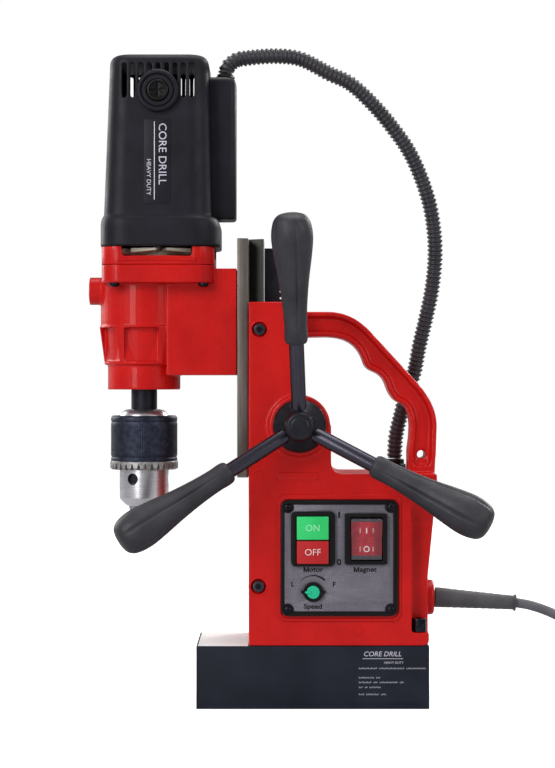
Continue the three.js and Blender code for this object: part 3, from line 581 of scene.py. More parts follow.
def chuck_ring():
    """Black sleeve whose toothed lower ring is bare, with worn grey teeth."""
    look = Look("chuck_ring", metallic=0.9)
    bare = look.along("Z", 1, 0, 0.1739, 0.1746)
    wear = look.noise(300, 4)
    black = look.tones(wear, (34, 37, 50), (56, 59, 73))
    steel = look.tones(wear, (120, 120, 120), (176, 174, 172))
    look.colour(look.mixed(bare, black, steel))
    look.dulled(200, 4, 0.4, 0.54)
    look.bumps([(look.noise(900, 3), 0.03)])
    return look.material


def rocker_lens():
    """Translucent red cover of the lit rocker, with painted shade at its left and right sides and painted
    grey highlights on its two pressed ends.
    """
    look = Look("rocker_lens", roughness=0.22, Coat_Weight=0.5, Subsurface_Weight=0.25)
    glow = look.noise(150, 3)
    ribs = look.noise(900, 1, place=look.stretched(1, 1, 0.02))
    red = look.tones(glow, (160, 16, 36), (200, 36, 58))
    red = look.mixed(look.ramp(ribs, 0, 0.5), red, tone(120, 8, 26))
    # Painted shade: darker towards the rocker's left and right sides, next to the bezel.
    red = look.mixed(look.along("X", 0, 0.8, 0.0415, 0.0455), red, tone(110, 6, 22))
    red = look.mixed(look.along("X", 0.8, 0, 0.0294, 0.0334), red, tone(110, 6, 22))
    # Painted highlights: grey over the top and the foot of the rocker, where its end bevels catch the light.
    top = look.along("Z", 0, 1, 0.1327, 0.1332)
    foot = look.along("Z", 1, 0, 0.1088, 0.1093)
    look.colour(look.mixed(top, look.mixed(foot, red, tone(62, 58, 64)), tone(58, 54, 60)))
    look.dulled(300, 3, 0.18, 0.32)
    look.bumps([(look.noise(700, 2), 0.02)])
    return look.material


def printed_ink(name, colour):
    look = Look(name, Specular_IOR_Level=0.2)
    look.colour(look.mixed(look.ramp(look.noise(900, 3), 0, 0.35), tone(*colour),
                           tone(*[int(c * 0.82 + 6) for c in colour])))
    look.dulled(400, 2, 0.4, 0.55)
    look.bumps([(look.noise(1500, 2), 0.01)])
    return look.material


def rubber(name, dark, light):
    """Soft PVC or rubber with a powdery bloom."""
    look = Look(name, Sheen_Weight=0.15, Sheen_Roughness=0.5)
    look.colour(look.tones(look.noise(80, 5), dark, light))
    look.dulled(150, 4, 0.5, 0.7)
    look.bumps([(look.noise(1300, 3), 0.03)])
    return look.material


# Each look: its slot in the record, and its material.
LOOKS = {
    "red": ("red_casting", red_paint()),
    "magnet": ("magnet_paint", magnet_paint()),
    "motor": ("black_plastic", plastic("motor_plastic", (13, 13, 20), (24, 24, 34),
                                       (0.42, 0.56), gloss=0.2)),
    "grip": ("grip_plastic", plastic("grip_plastic", (25, 25, 31), (46, 46, 53),
                                     (0.46, 0.66), 0.16, 900, 0.42)),
    "black": ("black_plastic", plastic("black_plastic", (4, 4, 6), (10, 9, 12),
                                       (0.3, 0.42), 0.03, gloss=0.22)),
    "ground": ("ground_steel", ground_steel()),
    "steel": ("machined_steel", turned_steel("machined_steel", (128, 128, 132), (176, 176, 180),
                                             (0.2, 0.36))),
    "bright": ("bright_steel", turned_steel("bright_steel", (184, 182, 186), (214, 212, 216), (0.26, 0.36))),
    "ring": ("black_oxide", chuck_ring()),
    "milled": ("machined_steel", milled_face()),
    "oxide": ("black_oxide", black_oxide()),
    "rod": ("black_oxide", turned_steel("black_rod", (62, 60, 70), (78, 76, 86), (0.26, 0.4),
                                        (30, 30, 1))),
    "screw": ("black_oxide", black_screw()),
    "bronze": ("bronze", turned_steel("bronze", (150, 112, 66), (186, 146, 92), (0.22, 0.4))),
    "fan": ("fan_metal", plastic("fan_ivory", (250, 246, 224), (255, 252, 234), (0.3, 0.42), 0.03, 900)),
    "panel": ("panel_plate", panel_plate()),
    "green": ("green_button", plastic("green_button", (34, 190, 98), (50, 206, 114), (0.34, 0.45), 0.02)),
    "stop": ("red_button", plastic("red_button", (168, 16, 22), (188, 24, 28), (0.34, 0.45), 0.02)),
    "lens": ("rocker_red", rocker_lens()),
    "knob": ("knob_green", plastic("knob_green", (12, 172, 128), (28, 196, 148), (0.38, 0.5), 0.02)),
    "cord": ("cord_rubber", rubber("cord_rubber", (74, 74, 80), (96, 96, 102))),
    "relief": ("cord_rubber", rubber("relief_rubber", (50, 50, 54), (68, 68, 72))),
    "conduit": ("conduit_plastic", plastic("conduit_plastic", (32, 31, 36), (50, 48, 55), (0.36, 0.5), 0.02)),
    "resin": ("coil_resin", plastic("coil_resin", (92, 60, 34), (120, 82, 48), (0.3, 0.5), 0.08, 500)),
    "board": ("board", plastic("board_resin", (22, 70, 44), (32, 90, 58), (0.3, 0.5), 0.02)),
    "white": ("panel_plate", printed_ink("white_ink", (225, 225, 225))),
    "print": ("panel_plate", printed_ink("grey_print", (186, 188, 198))),
    "silver": ("panel_plate", printed_ink("silver_print", (196, 194, 208))),
    "ink": ("panel_plate", printed_ink("dark_ink", (2, 2, 3))),
    "mould": ("panel_plate", printed_ink("pale_ink", (226, 216, 214))),
    "mint": ("panel_plate", printed_ink("mint_ink", (170, 236, 190))),
}


def finish(piece, look, body=None, replaces=()):
    """Gives a piece its material and the body it rides on."""
    usual_slot, material = LOOKS[look]
    piece.data.materials.clear()
    piece.data.materials.append(material)
    if body:
        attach(piece, body)
    if replaces:
        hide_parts(*replaces)
    return piece


def refined(node, look, body, width, segments=3):
    """A CAD node with its flat faces merged, its edges rounded and its look put on."""
    piece = cad_copy(node + "_fine", node)
    work = bmesh.new()
    work.from_mesh(piece.data)
    bmesh.ops.dissolve_limit(work, angle_limit=math.radians(2), verts=work.verts, edges=work.edges)
    bmesh.ops.recalc_face_normals(work, faces=work.faces)
    work.to_mesh(piece.data)
    work.free()
    bevel(piece, width, segments)
    return finish(piece, look, body, (node,))


def lettering(name, words, size, x, z, y, look, body, depth=0.12, bold=0.0, turn=0.0, wide=1.0,
              slant=0.0):
    """Plain generic lettering that stands slightly proud of the face behind it."""
    data = bpy.data.curves.new(name, "FONT")
    data.body = words
    data.size = size * MM
    data.align_x = "CENTER"
    data.align_y = "CENTER"
    data.extrude = depth * MM
    data.offset = bold * MM
    data.resolution_u = 3
    data.shear = slant
    letters = link(name, data)
    letters.rotation_euler = (math.pi / 2, math.radians(turn), 0)
    letters.scale.x = wide
    letters.location = (x * MM, y * MM, z * MM)
    bpy.context.view_layer.update()
    graph = bpy.context.evaluated_depsgraph_get()
    mesh = bpy.data.meshes.new_from_object(letters.evaluated_get(graph))
    mesh.transform(letters.matrix_world)
    bpy.data.objects.remove(letters)
    piece = link(name, mesh)
    return finish(piece, look, body)


# ---------------------------------------------------------------- camera
def camera():
    """The view: straight at the machine's front, a little under its middle height."""
    data = bpy.data.cameras.new("view")
    focal_px, image_height, sensor = 2021, 768, 36
    data.sensor_width = sensor
    data.lens = focal_px / image_height * sensor
    data.clip_end = 20
    made = link("view", data)
    made.location = (-0.025, -1.471, 0.2302)
    made.rotation_euler = (math.pi / 2, 0, 0)
    bpy.context.scene.camera = made


camera()


# ---------------------------------------------------------------- mains cord
CORD_RADIUS = 3.5
CORD_ROUTE = [
    (148.9, 0, 71), (158, -0.4, 69.4), (168, -1.8, 66.4), (178, -4.6, 62.2), (187, -8.8, 56.4),
    (195.5, -14.3, 48.8), (203, -20.8, 39.4), (209.5, -27.8, 29.2), (216, -35, 19.2), (223, -41.6, 11.2),
    (231, -47.3, 6.1), (239, -51.2, 4), (247, -52.8, 3.6), (259, -53, 3.6),
]
COIL_X, COIL_MID, COIL_TURNS, COIL_PITCH = 272.0, 53.0, 4, 7.2
PLUG_TAIL = Vector((302.6, -53, 9.6))
PLUG_LIFT = 8


def coil_line():
    """Two flat layers of turns: inwards on the floor, up a step, and outwards on top."""
    per_turn = 48
    points = []
    for i in range(2 * COIL_TURNS * per_turn + 1):
        turns = i / per_turn
        if turns <= COIL_TURNS:
            whole = min(int(turns), COIL_TURNS - 1)
            step = whole + ease(turns - whole, 0.7) * (whole < COIL_TURNS - 1)
            height = 3.6 + COIL_PITCH * (ease(turns - whole, 0.7) if whole == COIL_TURNS - 1 else 0)
        else:
            outward = turns - COIL_TURNS
            whole = min(int(outward), COIL_TURNS - 1)
            step = COIL_TURNS - 1 - whole
            step -= ease(outward - whole, 0.7) * (whole < COIL_TURNS - 1)
            height = 3.6 + COIL_PITCH
        radius = COIL_MID - COIL_PITCH * step
        turn = -math.pi / 2 + TAU * turns
        points.append(Vector((COIL_X + radius * math.cos(turn), radius * math.sin(turn), height)))
    return points


def ease(part, start):
    """0 until start, then smoothly up to 1 at the end of a turn."""
    t = min(max((part - start) / (1 - start), 0), 1)
    return t * t * (3 - 2 * t)


def mains_cord():
    tail = [Vector((282, -53, 10.8)), Vector((292, -53, 10.4)), PLUG_TAIL + Vector((1, 0, 0.1))]
    line = catmull(CORD_ROUTE)[:-1] + coil_line() + tail
    line = spaced(line, 3.0)
    curve = bpy.data.curves.new("mains_cord", "CURVE")
    curve.dimensions = "3D"
    curve.bevel_depth = CORD_RADIUS * MM
    curve.bevel_resolution = 6
    curve.use_fill_caps = True
    spline = curve.splines.new("POLY")
    spline.points.add(len(line) - 1)
    for point, place in zip(spline.points, line):
        point.co = (*(place * MM), 1)
    spline.use_smooth = True
    cord = link("mains_cord", curve)
    finish(cord, "cord", "frame", ("power_cord", "cord_coil"))
    return cord, line_length(line) * MM


def strain_relief():
    """Tapered sleeve with a collar at its end, and shallow flexing slots along it."""
    def slotted(radius, height, turn):
        if 8 < height < 52:
            wave = math.cos(height * TAU / 5.2) * math.cos(2 * turn)
            return radius - 0.22 * max(0, wave)
        return radius
    profile = [(0, 0.6), (7.3, 0.6)]
    profile += [(7.3 - 2.2 * i / 40, 2 + 56 * i / 40, 0) for i in range(41)]
    profile += [(6.0, 58.4, 0.4), (6.0, 59.8, 0.4), (0, 60)]
    relief = lathe("relief_sleeve", profile, "X", sides=64, fillet=0.5, shape=slotted)
    relief.matrix_world = shift(88.7, 0, GLAND_Z) @ turned(4, "Y")
    return finish(relief, "relief", "frame", ("strain_relief",))


def plug():
    """A round two-pin plug with side earth clips, lying on its rim."""
    def gripped(radius, height, turn):
        if 24 < height < 48:
            return radius - 0.5 * max(0, math.cos(14 * turn)) ** 2
        return radius
    body = lathe(
        "plug_body",
        [(0, 0), (4.8, 0), (5.4, 18), (8.6, 22, 3), (10.6, 36, 8), (16.4, 46, 5), (18.5, 50, 2),
         (18.5, 62), (17.6, 64), (0, 64)],
        "X", sides=84, fillet=1.2, shape=gripped,
    )
    notches = [box("notch", 50, 66, -3.2, 3.2, side * 18 - 2.2, side * 18 + 2.2) for side in (-1, 1)]
    boolean(body, notches)
    smooth(body, 35)
    place = shift(*PLUG_TAIL) @ turned(-PLUG_LIFT, "Y")
    body.matrix_world = place
    finish(body, "relief", "frame", ("plug",))
    pieces = [body]
    for number, y in enumerate((-9.5, 9.5)):
        pin = lathe(
            f"plug_pin_{number + 1}",
            [(0, 63), (2.0, 63), (2.0, 72), (2.4, 72.3), (2.4, 80, 1.2), (1.2, 82, 0.6), (0, 82)],
            "X", (0, y, 0), 32, 0.3,
        )
        pin.matrix_world = place
        pieces.append(finish(pin, "bright", "frame"))
    for number, side in enumerate((-1, 1)):
        clip = box(f"earth_clip_{number + 1}", 52, 63.6, -2.4, 2.4, side * 16.4 - 0.5, side * 16.4 + 0.5)
        bevel(clip, 0.3)
        clip.matrix_world = place
        pieces.append(finish(clip, "bright", "frame"))
    return pieces


def lead():
    cord, length = mains_cord()
    relief = strain_relief()
    plug()


lead()


# ---------------------------------------------------------------- conduit
CONDUIT_ROUTE = [
    (-62.7, 0, 455.8), (-61, 0.5, 461), (-55, 1, 466), (-48.5, 2, 467.5), (-27.1, 5, 469.6),
    (-8.5, 8, 468), (13.5, 10, 457.4), (27.9, 12, 450.9), (45.1, 14, 435.7), (59.6, 16, 418.9),
    (71.6, 18, 402.1), (80.9, 20, 382.5), (87.6, 21, 361.6), (91, 22, 339.2), (91.3, 23, 320.4),
    (89.1, 24, 299.7), (85.2, 25, 280.5), (80, 26, 258.1), (76.5, 27, 239.8), (70.2, 27, 222),
    (66.8, 27, 209.1), (62.8, 27, 191.9), (61.6, 27, 175.2),
]


def conduit():
    """Ribbed flexible conduit between the fixed column and the moving head, made as one still tube."""
    per_rib, pitch = 8, 3.3
    line = spaced(catmull(CONDUIT_ROUTE), pitch / per_rib)
    def rib(i):
        wave = math.cos(TAU * i / per_rib)
        return 5.2 + 0.5 * max(-1, min(1, 1.5 * wave))
    hose = tube("conduit_hose", line, rib, 28)
    finish(hose, "conduit")
    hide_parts("conduit")
    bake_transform(hose)


conduit()


def hex_outline(u, v, radius, sides=6, turn=0.0):
    return [(u + radius * math.cos(TAU * i / sides + turn), v + radius * math.sin(TAU * i / sides + turn))
            for i in range(sides)]


def conduit_glands():
    """A hexagon nut and a ribbed collar at each end of the conduit."""
    for place, node, low, high, across, body in (
        ((61.6, 27), "conduit_gland_lower", 166.8, 174.7, 8.6, "frame"),
        ((-62.9, 0), "conduit_gland_upper", 452.1, 455.5, 7.0, "head"),
    ):
        split = low + 0.55 * (high - low)
        nut = prism("nut", hex_outline(*place, across), "Z", low, split)
        bevel(nut, 0.4)
        wide = 0.84 * across
        collar = lathe("collar", [(0, split - 1), (wide, split - 1), (wide, high), (0, high)],
                       "Z", (*place, 0), 64, 0.8,
                       lambda r, h, t: r - 0.25 * max(0, math.cos(16 * t)))
        piece = together(node + "_nut", [nut, collar])
        smooth(piece, 40)
        finish(piece, "black", body, (node,))


conduit_glands()


# ---------------------------------------------------------------- magnet base
def magnet_base():
    refined("magnet_housing", "magnet", "frame", 0.9, 4)
    refined("magnet_coil", "resin", "frame", 0.4)
    bare = box("bare_top_face", -81.4, -45.9, -38.9, 38.9, 44.52, 44.62)
    finish(bare, "milled", "frame")
    socket_bolt("base_bolt", "base_bolt_head", (75.65, -33.8, 54.3), 5.15, 9.5, "Z", 3, 17)


def socket_bolt(node, name, seat, radius, height, axis, shank_radius, shank):
    """A knurled socket-head bolt: the head stands on its seat, the shank goes the other way."""
    foot, (u, v), at = split_seat(seat, axis)
    sign = 1 if axis == "Z" else -1
    top, tip = foot + sign * height, foot - sign * shank
    def knurl(r, h, t):
        worked = 0.8 < (h - foot) * sign < height - 1.2 and r > radius - 0.1
        return r - (0.14 if worked and int(t / TAU * 80) % 2 else 0)
    profile = [(0, tip), (shank_radius, tip), (shank_radius, foot), (radius, foot), (radius, top, 0.7),
               (0, top)]
    bolt = lathe(name, profile, axis, at, 160, 0.25, knurl)
    depth = 0.5 * height
    key = prism("key", hex_outline(u, v, radius * 0.56), axis, *sorted((top - sign * depth, top + sign)))
    boolean(bolt, [key])
    smooth(bolt, 35)
    # Painted shade: a dark hex liner deep in the socket stands for the shade inside the recess.
    ends = sorted((top - sign * depth * 0.98, top - sign * depth * 0.5))
    shade = prism(name + "_socket_painted_shade", hex_outline(u, v, radius * 0.54), axis, *ends)
    finish(shade, "black", "frame")
    return finish(bolt, "rod" if axis == "Y" else "screw", "frame", (node,))


magnet_base()


def small_word(start, end, z, front):
    """A word too small to read: a row of narrow uneven strokes."""
    count = max(2, round((end - start) / 1.05))
    step = (end - start) / count
    strokes = []
    for i in range(count):
        x = start + i * step
        tall = 0.5 + 0.12 * math.sin(i * 2.3 + start)
        strokes.append(box("stroke", x, x + 0.32, front - 0.1, front, z - 0.5, z - 0.5 + 2 * tall))
        strokes.append(box("stroke", x, x + step - 0.22, front - 0.1, front, z - 0.14 + 0.3 * (i % 3 - 1),
                           z + 0.14 + 0.3 * (i % 3 - 1)))
    return strokes


def base_label():
    """Print on the front of the base: a title with a rule under it and lines of small print."""
    left, front = 32.7, FRONT
    outline = prism("base_label", rounded_rect(30.4, 81.3, 5.2, 42.6, 0.8), "Y", front - 0.06, front + 0.05)
    finish(outline, "magnet", "frame")
    rows = [box("rule", 35.2, 63.9, front - 0.12, front, 35.5, 35.9)]
    for z, words in ((28.8, (13, 18, 14)), (22.2, (11, 3)), (18.9, (9, 3, 13, 3)), (15.4, (3, 2, 8)),
                     (10.4, (4, 9, 4))):
        start = left
        for width in words:
            rows += small_word(start, start + width, z, front)
            start += width + 1.3
    finish(together("base_label_print", rows), "print", "frame")
    lettering("base_label_title", "CORE DRILL", 4.9, 49.2, 38.9, front - 0.06, "silver", "frame", 0.06,
              slant=0.22)
    lettering("base_label_note", "HEAVY DUTY", 2.3, 57.3, 32.8, front - 0.06, "print", "frame", 0.06)


base_label()


# ---------------------------------------------------------------- column casting
def dovetail_way():
    """A cutting tool that is the slide's dovetail with its play round it."""
    neck, back, half, flare, play = -45.9, -34.7, 14, 0.5357, 0.3
    narrow = half + play
    wide = narrow + flare * (back - neck)
    way = [(neck - 9, -narrow), (neck, -narrow), (back + play, -wide), (back + play, wide),
           (neck, narrow), (neck - 9, narrow)]
    return prism("way", way, "Z", 46, 340)


def column_casting():
    casting = cast(cad_copy("column_casting", "column_housing"), 1.0, 5)
    handle = casting.vertex_groups.new(name="handle")
    foot, left, flat, edge = 0.170, -0.011, 0.009, 0.018
    inside = [v.index for v in casting.data.vertices
              if v.co.z > foot and v.co.x > left and flat < abs(v.co.y) < edge]
    handle.add(inside, 1.0, "REPLACE")
    round_over = casting.modifiers.new("round over", "SMOOTH")
    round_over.factor = 0.5
    round_over.iterations = 9
    round_over.vertex_group = "handle"
    bake(casting)
    boolean(casting, [dovetail_way()])
    smooth(casting, 40)
    finish(casting, "red", "frame", ("column_housing",))


column_casting()


def raised_ring(name, x, z, radii, height, sides, fillet):
    """A low ring with sloped sides, cast on the front face."""
    foot, top = FRONT + 0.3, FRONT - height
    inside, inner, outer, outside = radii
    line = [(inside, foot), (inner, top), (outer, top), (outside, foot), (inside, foot)]
    finish(lathe(name, line, "Y", (x, 0, z), sides, fillet), "red", "frame")


def casting_details():
    """Raised lip round the panel, bosses round the gib screws and small cast marks."""
    lip = prism("lip", rounded_rect(-24.4, 62.4, 62.2, 152.0, 6), "Y", FRONT - 1.3, FRONT + 0.5)
    window = prism("window", rounded_rect(-22.4, 60.9, 64.2, 148.3, 5), "Y", FRONT - 3, FRONT + 2)
    boolean(lip, [window])
    bevel(lip, 0.6, 3)
    finish(lip, "red", "frame")
    for name, x, z in (("upper", -37.7, 268.8), ("lower", -38.5, 86.8)):
        raised_ring(f"gib_boss_{name}", x, z, (5.4, 5.5, 6.6, 7.2), 0.35, 64, 0.3)
        socket_bolt(f"gib_screw_{name}", f"gib_screw_{name}_head", (x, -37.3, z), 4.0, 3.6, "Y", 2.5, 13.5)
    for number, (x, z) in enumerate(((-34.2, 254.3), (-38.4, 165.4), (-33.7, 57.9), (32, 55.5))):
        raised_ring(f"ejector_mark_{number + 1}", x, z, (3.1, 3.2, 3.6, 3.8), 0.22, 48, 0.15)
    bar = prism("cast_bar", rounded_rect(-25.4, 4.4, 162.2, 167.6, 2.4), "Y", FRONT - 0.5, FRONT + 0.5)
    bevel(bar, 0.4, 3)
    finish(bar, "red", "frame")


casting_details()


def rear_cover():
    refined("rear_cover", "motor", "frame", 0.7)
    for number, (x, z) in enumerate(((-11, 63), (73, 63), (-11, 149), (73, 149))):
        pan_screw(f"rear_cover_screw_{number + 1}", (x, 40.0, z), 3.4, 1.7, "Y", 1, "frame")


def pan_screw(name, seat, radius, height, axis, sign, body, replaces=()):
    """A pan-head screw with a cross recess; sign is the way the head stands along the axis."""
    foot, (u, v), at = split_seat(seat, axis)
    base, top = foot - sign * 0.4, foot + sign * height
    profile = [(0, base), (radius, base), (radius, base + sign * (height * 0.45 + 0.4), 0.3),
               (radius * 0.62, top - sign * 0.05, 1.5), (0, top)]
    head = lathe(name, profile, axis, at, 48, 0.4)
    ends = sorted((top - sign * height * 0.6, top + sign))
    boolean(head, cross_recess(u, v, radius * 0.55, radius * 0.14, axis, *ends))
    smooth(head, 35)
    return finish(head, "screw", body, replaces)


rear_cover()


# ---------------------------------------------------------------- control panel
PANEL_SCREWS = [(-17.6, 143.0), (55.2, 143.0), (-17.6, 70.8), (55.2, 70.8)]
PLATE_FRONT = -42.0


def control_panel():
    refined("panel_frame", "black", "frame", 0.5, 3)
    sheet = cad_copy("control_panel_fine", "control_panel")
    bevel(sheet, 0.15, 2)
    finish(sheet, "panel", "frame", ("control_panel",))
    for number, (x, z) in enumerate(PANEL_SCREWS):
        pan_screw(f"panel_screw_{number + 1}_head", (x, -43.0, z), 2.8, 1.8, "Y", -1, "frame",
                  (f"panel_screw_{number + 1}",))
    words = [("otor", 4.9, 2.3, 99.0), ("agnet", 5.0, 39.1, 99.0), ("Speed", 4.9, 0.1, 72.8),
             ("L", 4.6, -14.3, 88.4), ("F", 4.6, 15.0, 88.4)]
    for text, size, x, z in words:
        lettering(f"panel_word_{text}", text, size, x, z, PLATE_FRONT - 0.05, "ink", "frame", 0.06, 0.12,
                  wide=1.1)
    capitals = [letter_m(-6.6, 97.1), letter_m(28.9, 97.1)]
    capitals.append(box("one", 17.9, 19.3, PLATE_FRONT - 0.11, PLATE_FRONT, 135.6, 139.9))
    outside = rounded_rect(17.1, 20.1, 102.1, 106.5, 1.5)
    inside = rounded_rect(18.1, 19.1, 103.2, 105.4, 0.5)
    nought = prism("nought", outside, "Y", PLATE_FRONT - 0.11, PLATE_FRONT)
    boolean(nought, [prism("counter", inside, "Y", PLATE_FRONT - 1, PLATE_FRONT + 1)])
    capitals.append(nought)
    finish(together("panel_capitals", capitals), "ink", "frame")
    dial_arc()


def letter_m(x, z, width=3.9, height=3.7, stroke=0.85):
    """A capital M from its lower left corner, its middle strokes meeting at the foot."""
    middle, right, top = x + width / 2, x + width, z + height
    line = [(x, z), (x, top), (x + stroke, top), (middle, z + 1.5), (right - stroke, top), (right, top),
            (right, z), (right - stroke, z), (right - stroke, top - 1.6), (middle + 0.3, z),
            (middle - 0.3, z), (x + stroke, top - 1.6), (x + stroke, z)]
    return prism("letter_m", line, "Y", PLATE_FRONT - 0.11, PLATE_FRONT)


def dial_arc():
    """Printed arc over the dial, thicker towards the fast end."""
    centre, steps = (0.2, 83.2), 24
    outer, inner = [], []
    for i in range(steps + 1):
        turn = math.radians(140 - 95 * i / steps)
        wide = 0.12 + 0.55 * i / steps
        for radius, line in ((11.6 + wide, outer), (11.6 - wide, inner)):
            line.append((centre[0] + radius * math.cos(turn), centre[1] + radius * math.sin(turn)))
    arc = prism("dial_arc", outer + inner[::-1], "Y", PLATE_FRONT - 0.07, PLATE_FRONT + 0.05)
    finish(arc, "ink", "frame")


def push_switch():
    refined("switch_frame", "black", "frame", 0.8, 4)
    for node, word, look, ink, middle in (
        ("on_button", "ON", "green", "mint", 128.5),
        ("off_button", "OFF", "stop", "mould", 111.4),
    ):
        refined(node, look, node, 0.6, 4)
        lettering(f"{node}_word", word, 6.6, -0.15, middle, -47.24, ink, node, 0.06, -0.06)


def rocker_switch():
    refined("rocker_bezel", "black", "frame", 0.7, 4)
    refined("magnet_rocker", "lens", "magnet_rocker", 0.5, 3)
    middle, face = 37.9, -4.3
    marks = [box("mark", middle - 0.4, middle + 0.4, face - 0.1, face + 0.3, 4.6, 8.8)]
    ring = washer(1.5, 2.2, face - 0.1, face + 0.3)
    marks.append(lathe("mark", ring, "Y", (middle, 0, -6.6), 48, 0))
    for side in (-1, 1):
        for low in (4.9, -8.4):
            x = middle + side * 4.6
            marks.append(box("mark", x - 0.2, x + 0.2, face - 0.1, face + 0.3, low, low + 3.6))
    symbols = together("rocker_symbols", marks)
    symbols.matrix_world = shift(0, -40.5, 120.7) @ turned(7, "X")
    finish(symbols, "mould", "magnet_rocker")


def speed_dial():
    centre = (0.2, 0, 83.2)
    def tabbed(radius, height, turn):
        if radius < 6:
            return radius
        return radius + 1.9 * max(0, math.cos(2 * turn)) ** 24
    ring = lathe("dial_ring_fine", washer(5.0, 7.0, -42.3, -44.8), "Y", centre, 120, 0.4, tabbed)
    finish(ring, "black", "frame", ("dial_ring",))
    knob = lathe("speed_knob_fine", [(0, -30), (3, -30), (3, -42.6), (4.6, -42.6), (4.6, -45.8, 0.6),
                                     (0, -45.6)], "Y", centre, 72, 0.3)
    finish(knob, "knob", "speed_knob", ("speed_knob",))
    pointer = prism("speed_pointer", [(-5.6, 82.6), (-1.2, 82.0), (-1.2, 84.4), (-5.6, 83.8)],
                    "Y", -46.3, -45.2)
    bevel(pointer, 0.25, 2)
    finish(pointer, "knob", "speed_knob")


control_panel()
push_switch()
rocker_switch()
speed_dial()


# ---------------------------------------------------------------- hand feed
SPOKE_ANGLES = [92.4, 212.4, 332.4]
LEAN = math.radians(14)
SPOKE_ROOT = 10  # how far a spoke starts from the feed axis
HUB_Y = -56


def along_spoke(radial):
    return radial / math.cos(LEAN)


def spoke_place(degrees):
    """Where a spoke's own +Z axis runs: out from the feed axis and towards the operator."""
    out = shift(*FEED) @ turned(90 - degrees, "Y")
    return out @ shift(0, HUB_Y + SPOKE_ROOT * math.tan(LEAN), 0) @ Matrix.Rotation(LEAN, 4, "X")


def fluted(radius, height, turn):
    """Long shallow flutes in the grip's swelling, dying out at both ends."""
    reach = min(max((height - 66) / 24, 0), 1) * min(max((149 - height) / 9, 0), 1)
    return radius - 1.15 * reach * max(0, math.cos(5 * turn + 0.6)) ** 9


def grips():
    start, end = along_spoke(58), along_spoke(146.5)
    swell = [(6.9, start), (7.7, start + 1.2), (8.2, start + 4), (8.0, start + 12), (8.4, start + 22),
             (9.4, start + 34), (11.0, start + 47), (12.9, start + 59), (14.2, start + 69),
             (14.5, start + 75), (13.9, end - 10), (12.3, end - 4.8), (9.4, end - 1.6), (5.6, end - 0.3),
             (0, end)]
    for number, degrees in enumerate(SPOKE_ANGLES, 1):
        rod_end = along_spoke(84)
        shaft = lathe(f"spoke_{number}_fine", [(0, along_spoke(SPOKE_ROOT)), (5.3, along_spoke(SPOKE_ROOT)),
                                              (5.3, rod_end), (0, rod_end)], "Z", sides=64)
        shaft.matrix_world = spoke_place(degrees)
        finish(shaft, "rod", "feed", (f"spoke_{number}",))
        line = [(0, rod_end + 1), (5.6, rod_end + 1), (5.6, start)]
        curve = catmull([(r[0], r[1], 0) for r in swell[:-1]], 5)
        line += [(p.x, p.y, 0) for p in curve] + [(0, end)]
        grip = lathe(f"grip_{number}_fine", line, "Z", sides=120, fillet=0.5, shape=fluted)
        grip.matrix_world = spoke_place(degrees)
        finish(grip, "grip", "feed", (f"grip_{number}",))


def feed_hub():
    hub = lathe(
        "feed_hub_fine",
        [(0, -71.8), (5.6, -71.8, 0.3), (6.4, -71.2, 0.3), (8.6, -71.2, 1.0), (9.8, -69.8, 0.8),
         (10.3, -62.2, 1.6), (17.6, -55.2, 2.0), (18.8, -53.2, 1.0), (18.8, -46.2, 0.6), (7.3, -45.9),
         (7.3, -60.4), (0, -60.4)],
        "Y", FEED, 128, 0.5,
    )
    sockets = []
    for degrees in SPOKE_ANGLES:
        hole = rod("socket", 5.5, along_spoke(SPOKE_ROOT) - 0.6, 40, sides=48, fillet=0)
        hole.matrix_world = spoke_place(degrees)
        sockets.append(hole)
    boolean(hub, sockets)
    bevel(hub, 0.35, 2, 40)
    finish(hub, "oxide", "feed", ("feed_hub",))


grips()
feed_hub()
refined("feed_bush", "bronze", "frame", 0.4)
refined("feed_pinion_shaft", "steel", "feed", 0.2)


# ---------------------------------------------------------------- slide and rack
refined("dovetail_slide", "ground", "head", 0.5, 3)
refined("rack", "oxide", "head", 0.2, 2)
refined("gib_strip", "bronze", "frame", 0.3)


# ---------------------------------------------------------------- gear case
def gear_case():
    boss = rod("boss", 10, -161.5, -152, "X", (0, 0, 297.7), 64, 0)
    piece = together("gear_case_fine", [cad_copy("case", "gear_case"), boss])
    cast(piece, 0.65, 3)
    finish(piece, "red", "head", ("gear_case",))
    for number, (x, y) in enumerate(((-141.1, -33), (-77.7, -33), (-141.1, 33), (-77.7, 33))):
        screw = lathe(f"flange_screw_{number + 1}",
                      [(0, 300.8), (1.6, 300.8), (1.7, 299.3), (2.6, 299.4, 0.8), (3.8, 300.6, 0.8),
                       (3.9, 302.3), (0, 302.3)], "Z", (x, y, 0), 48, 0.4)
        finish(screw, "screw", "head")


def flange(inset, radius, steps=10):
    half = 40.2 - inset
    return rounded_rect(FLANGE_X - half, FLANGE_X + half, -half, half, radius, steps)


def window_notch():
    """The fan window: a notch whose floor is crowned a little."""
    floor = [(FLANGE_X + 23.4 * t / 8, 320.9 + 0.5 * math.cos(t / 8 * math.pi / 2)) for t in range(-8, 9)]
    return [(-135.6, 331), (-135.4, 322.4), *floor, (-85.6, 322.4), (-85.4, 331)]


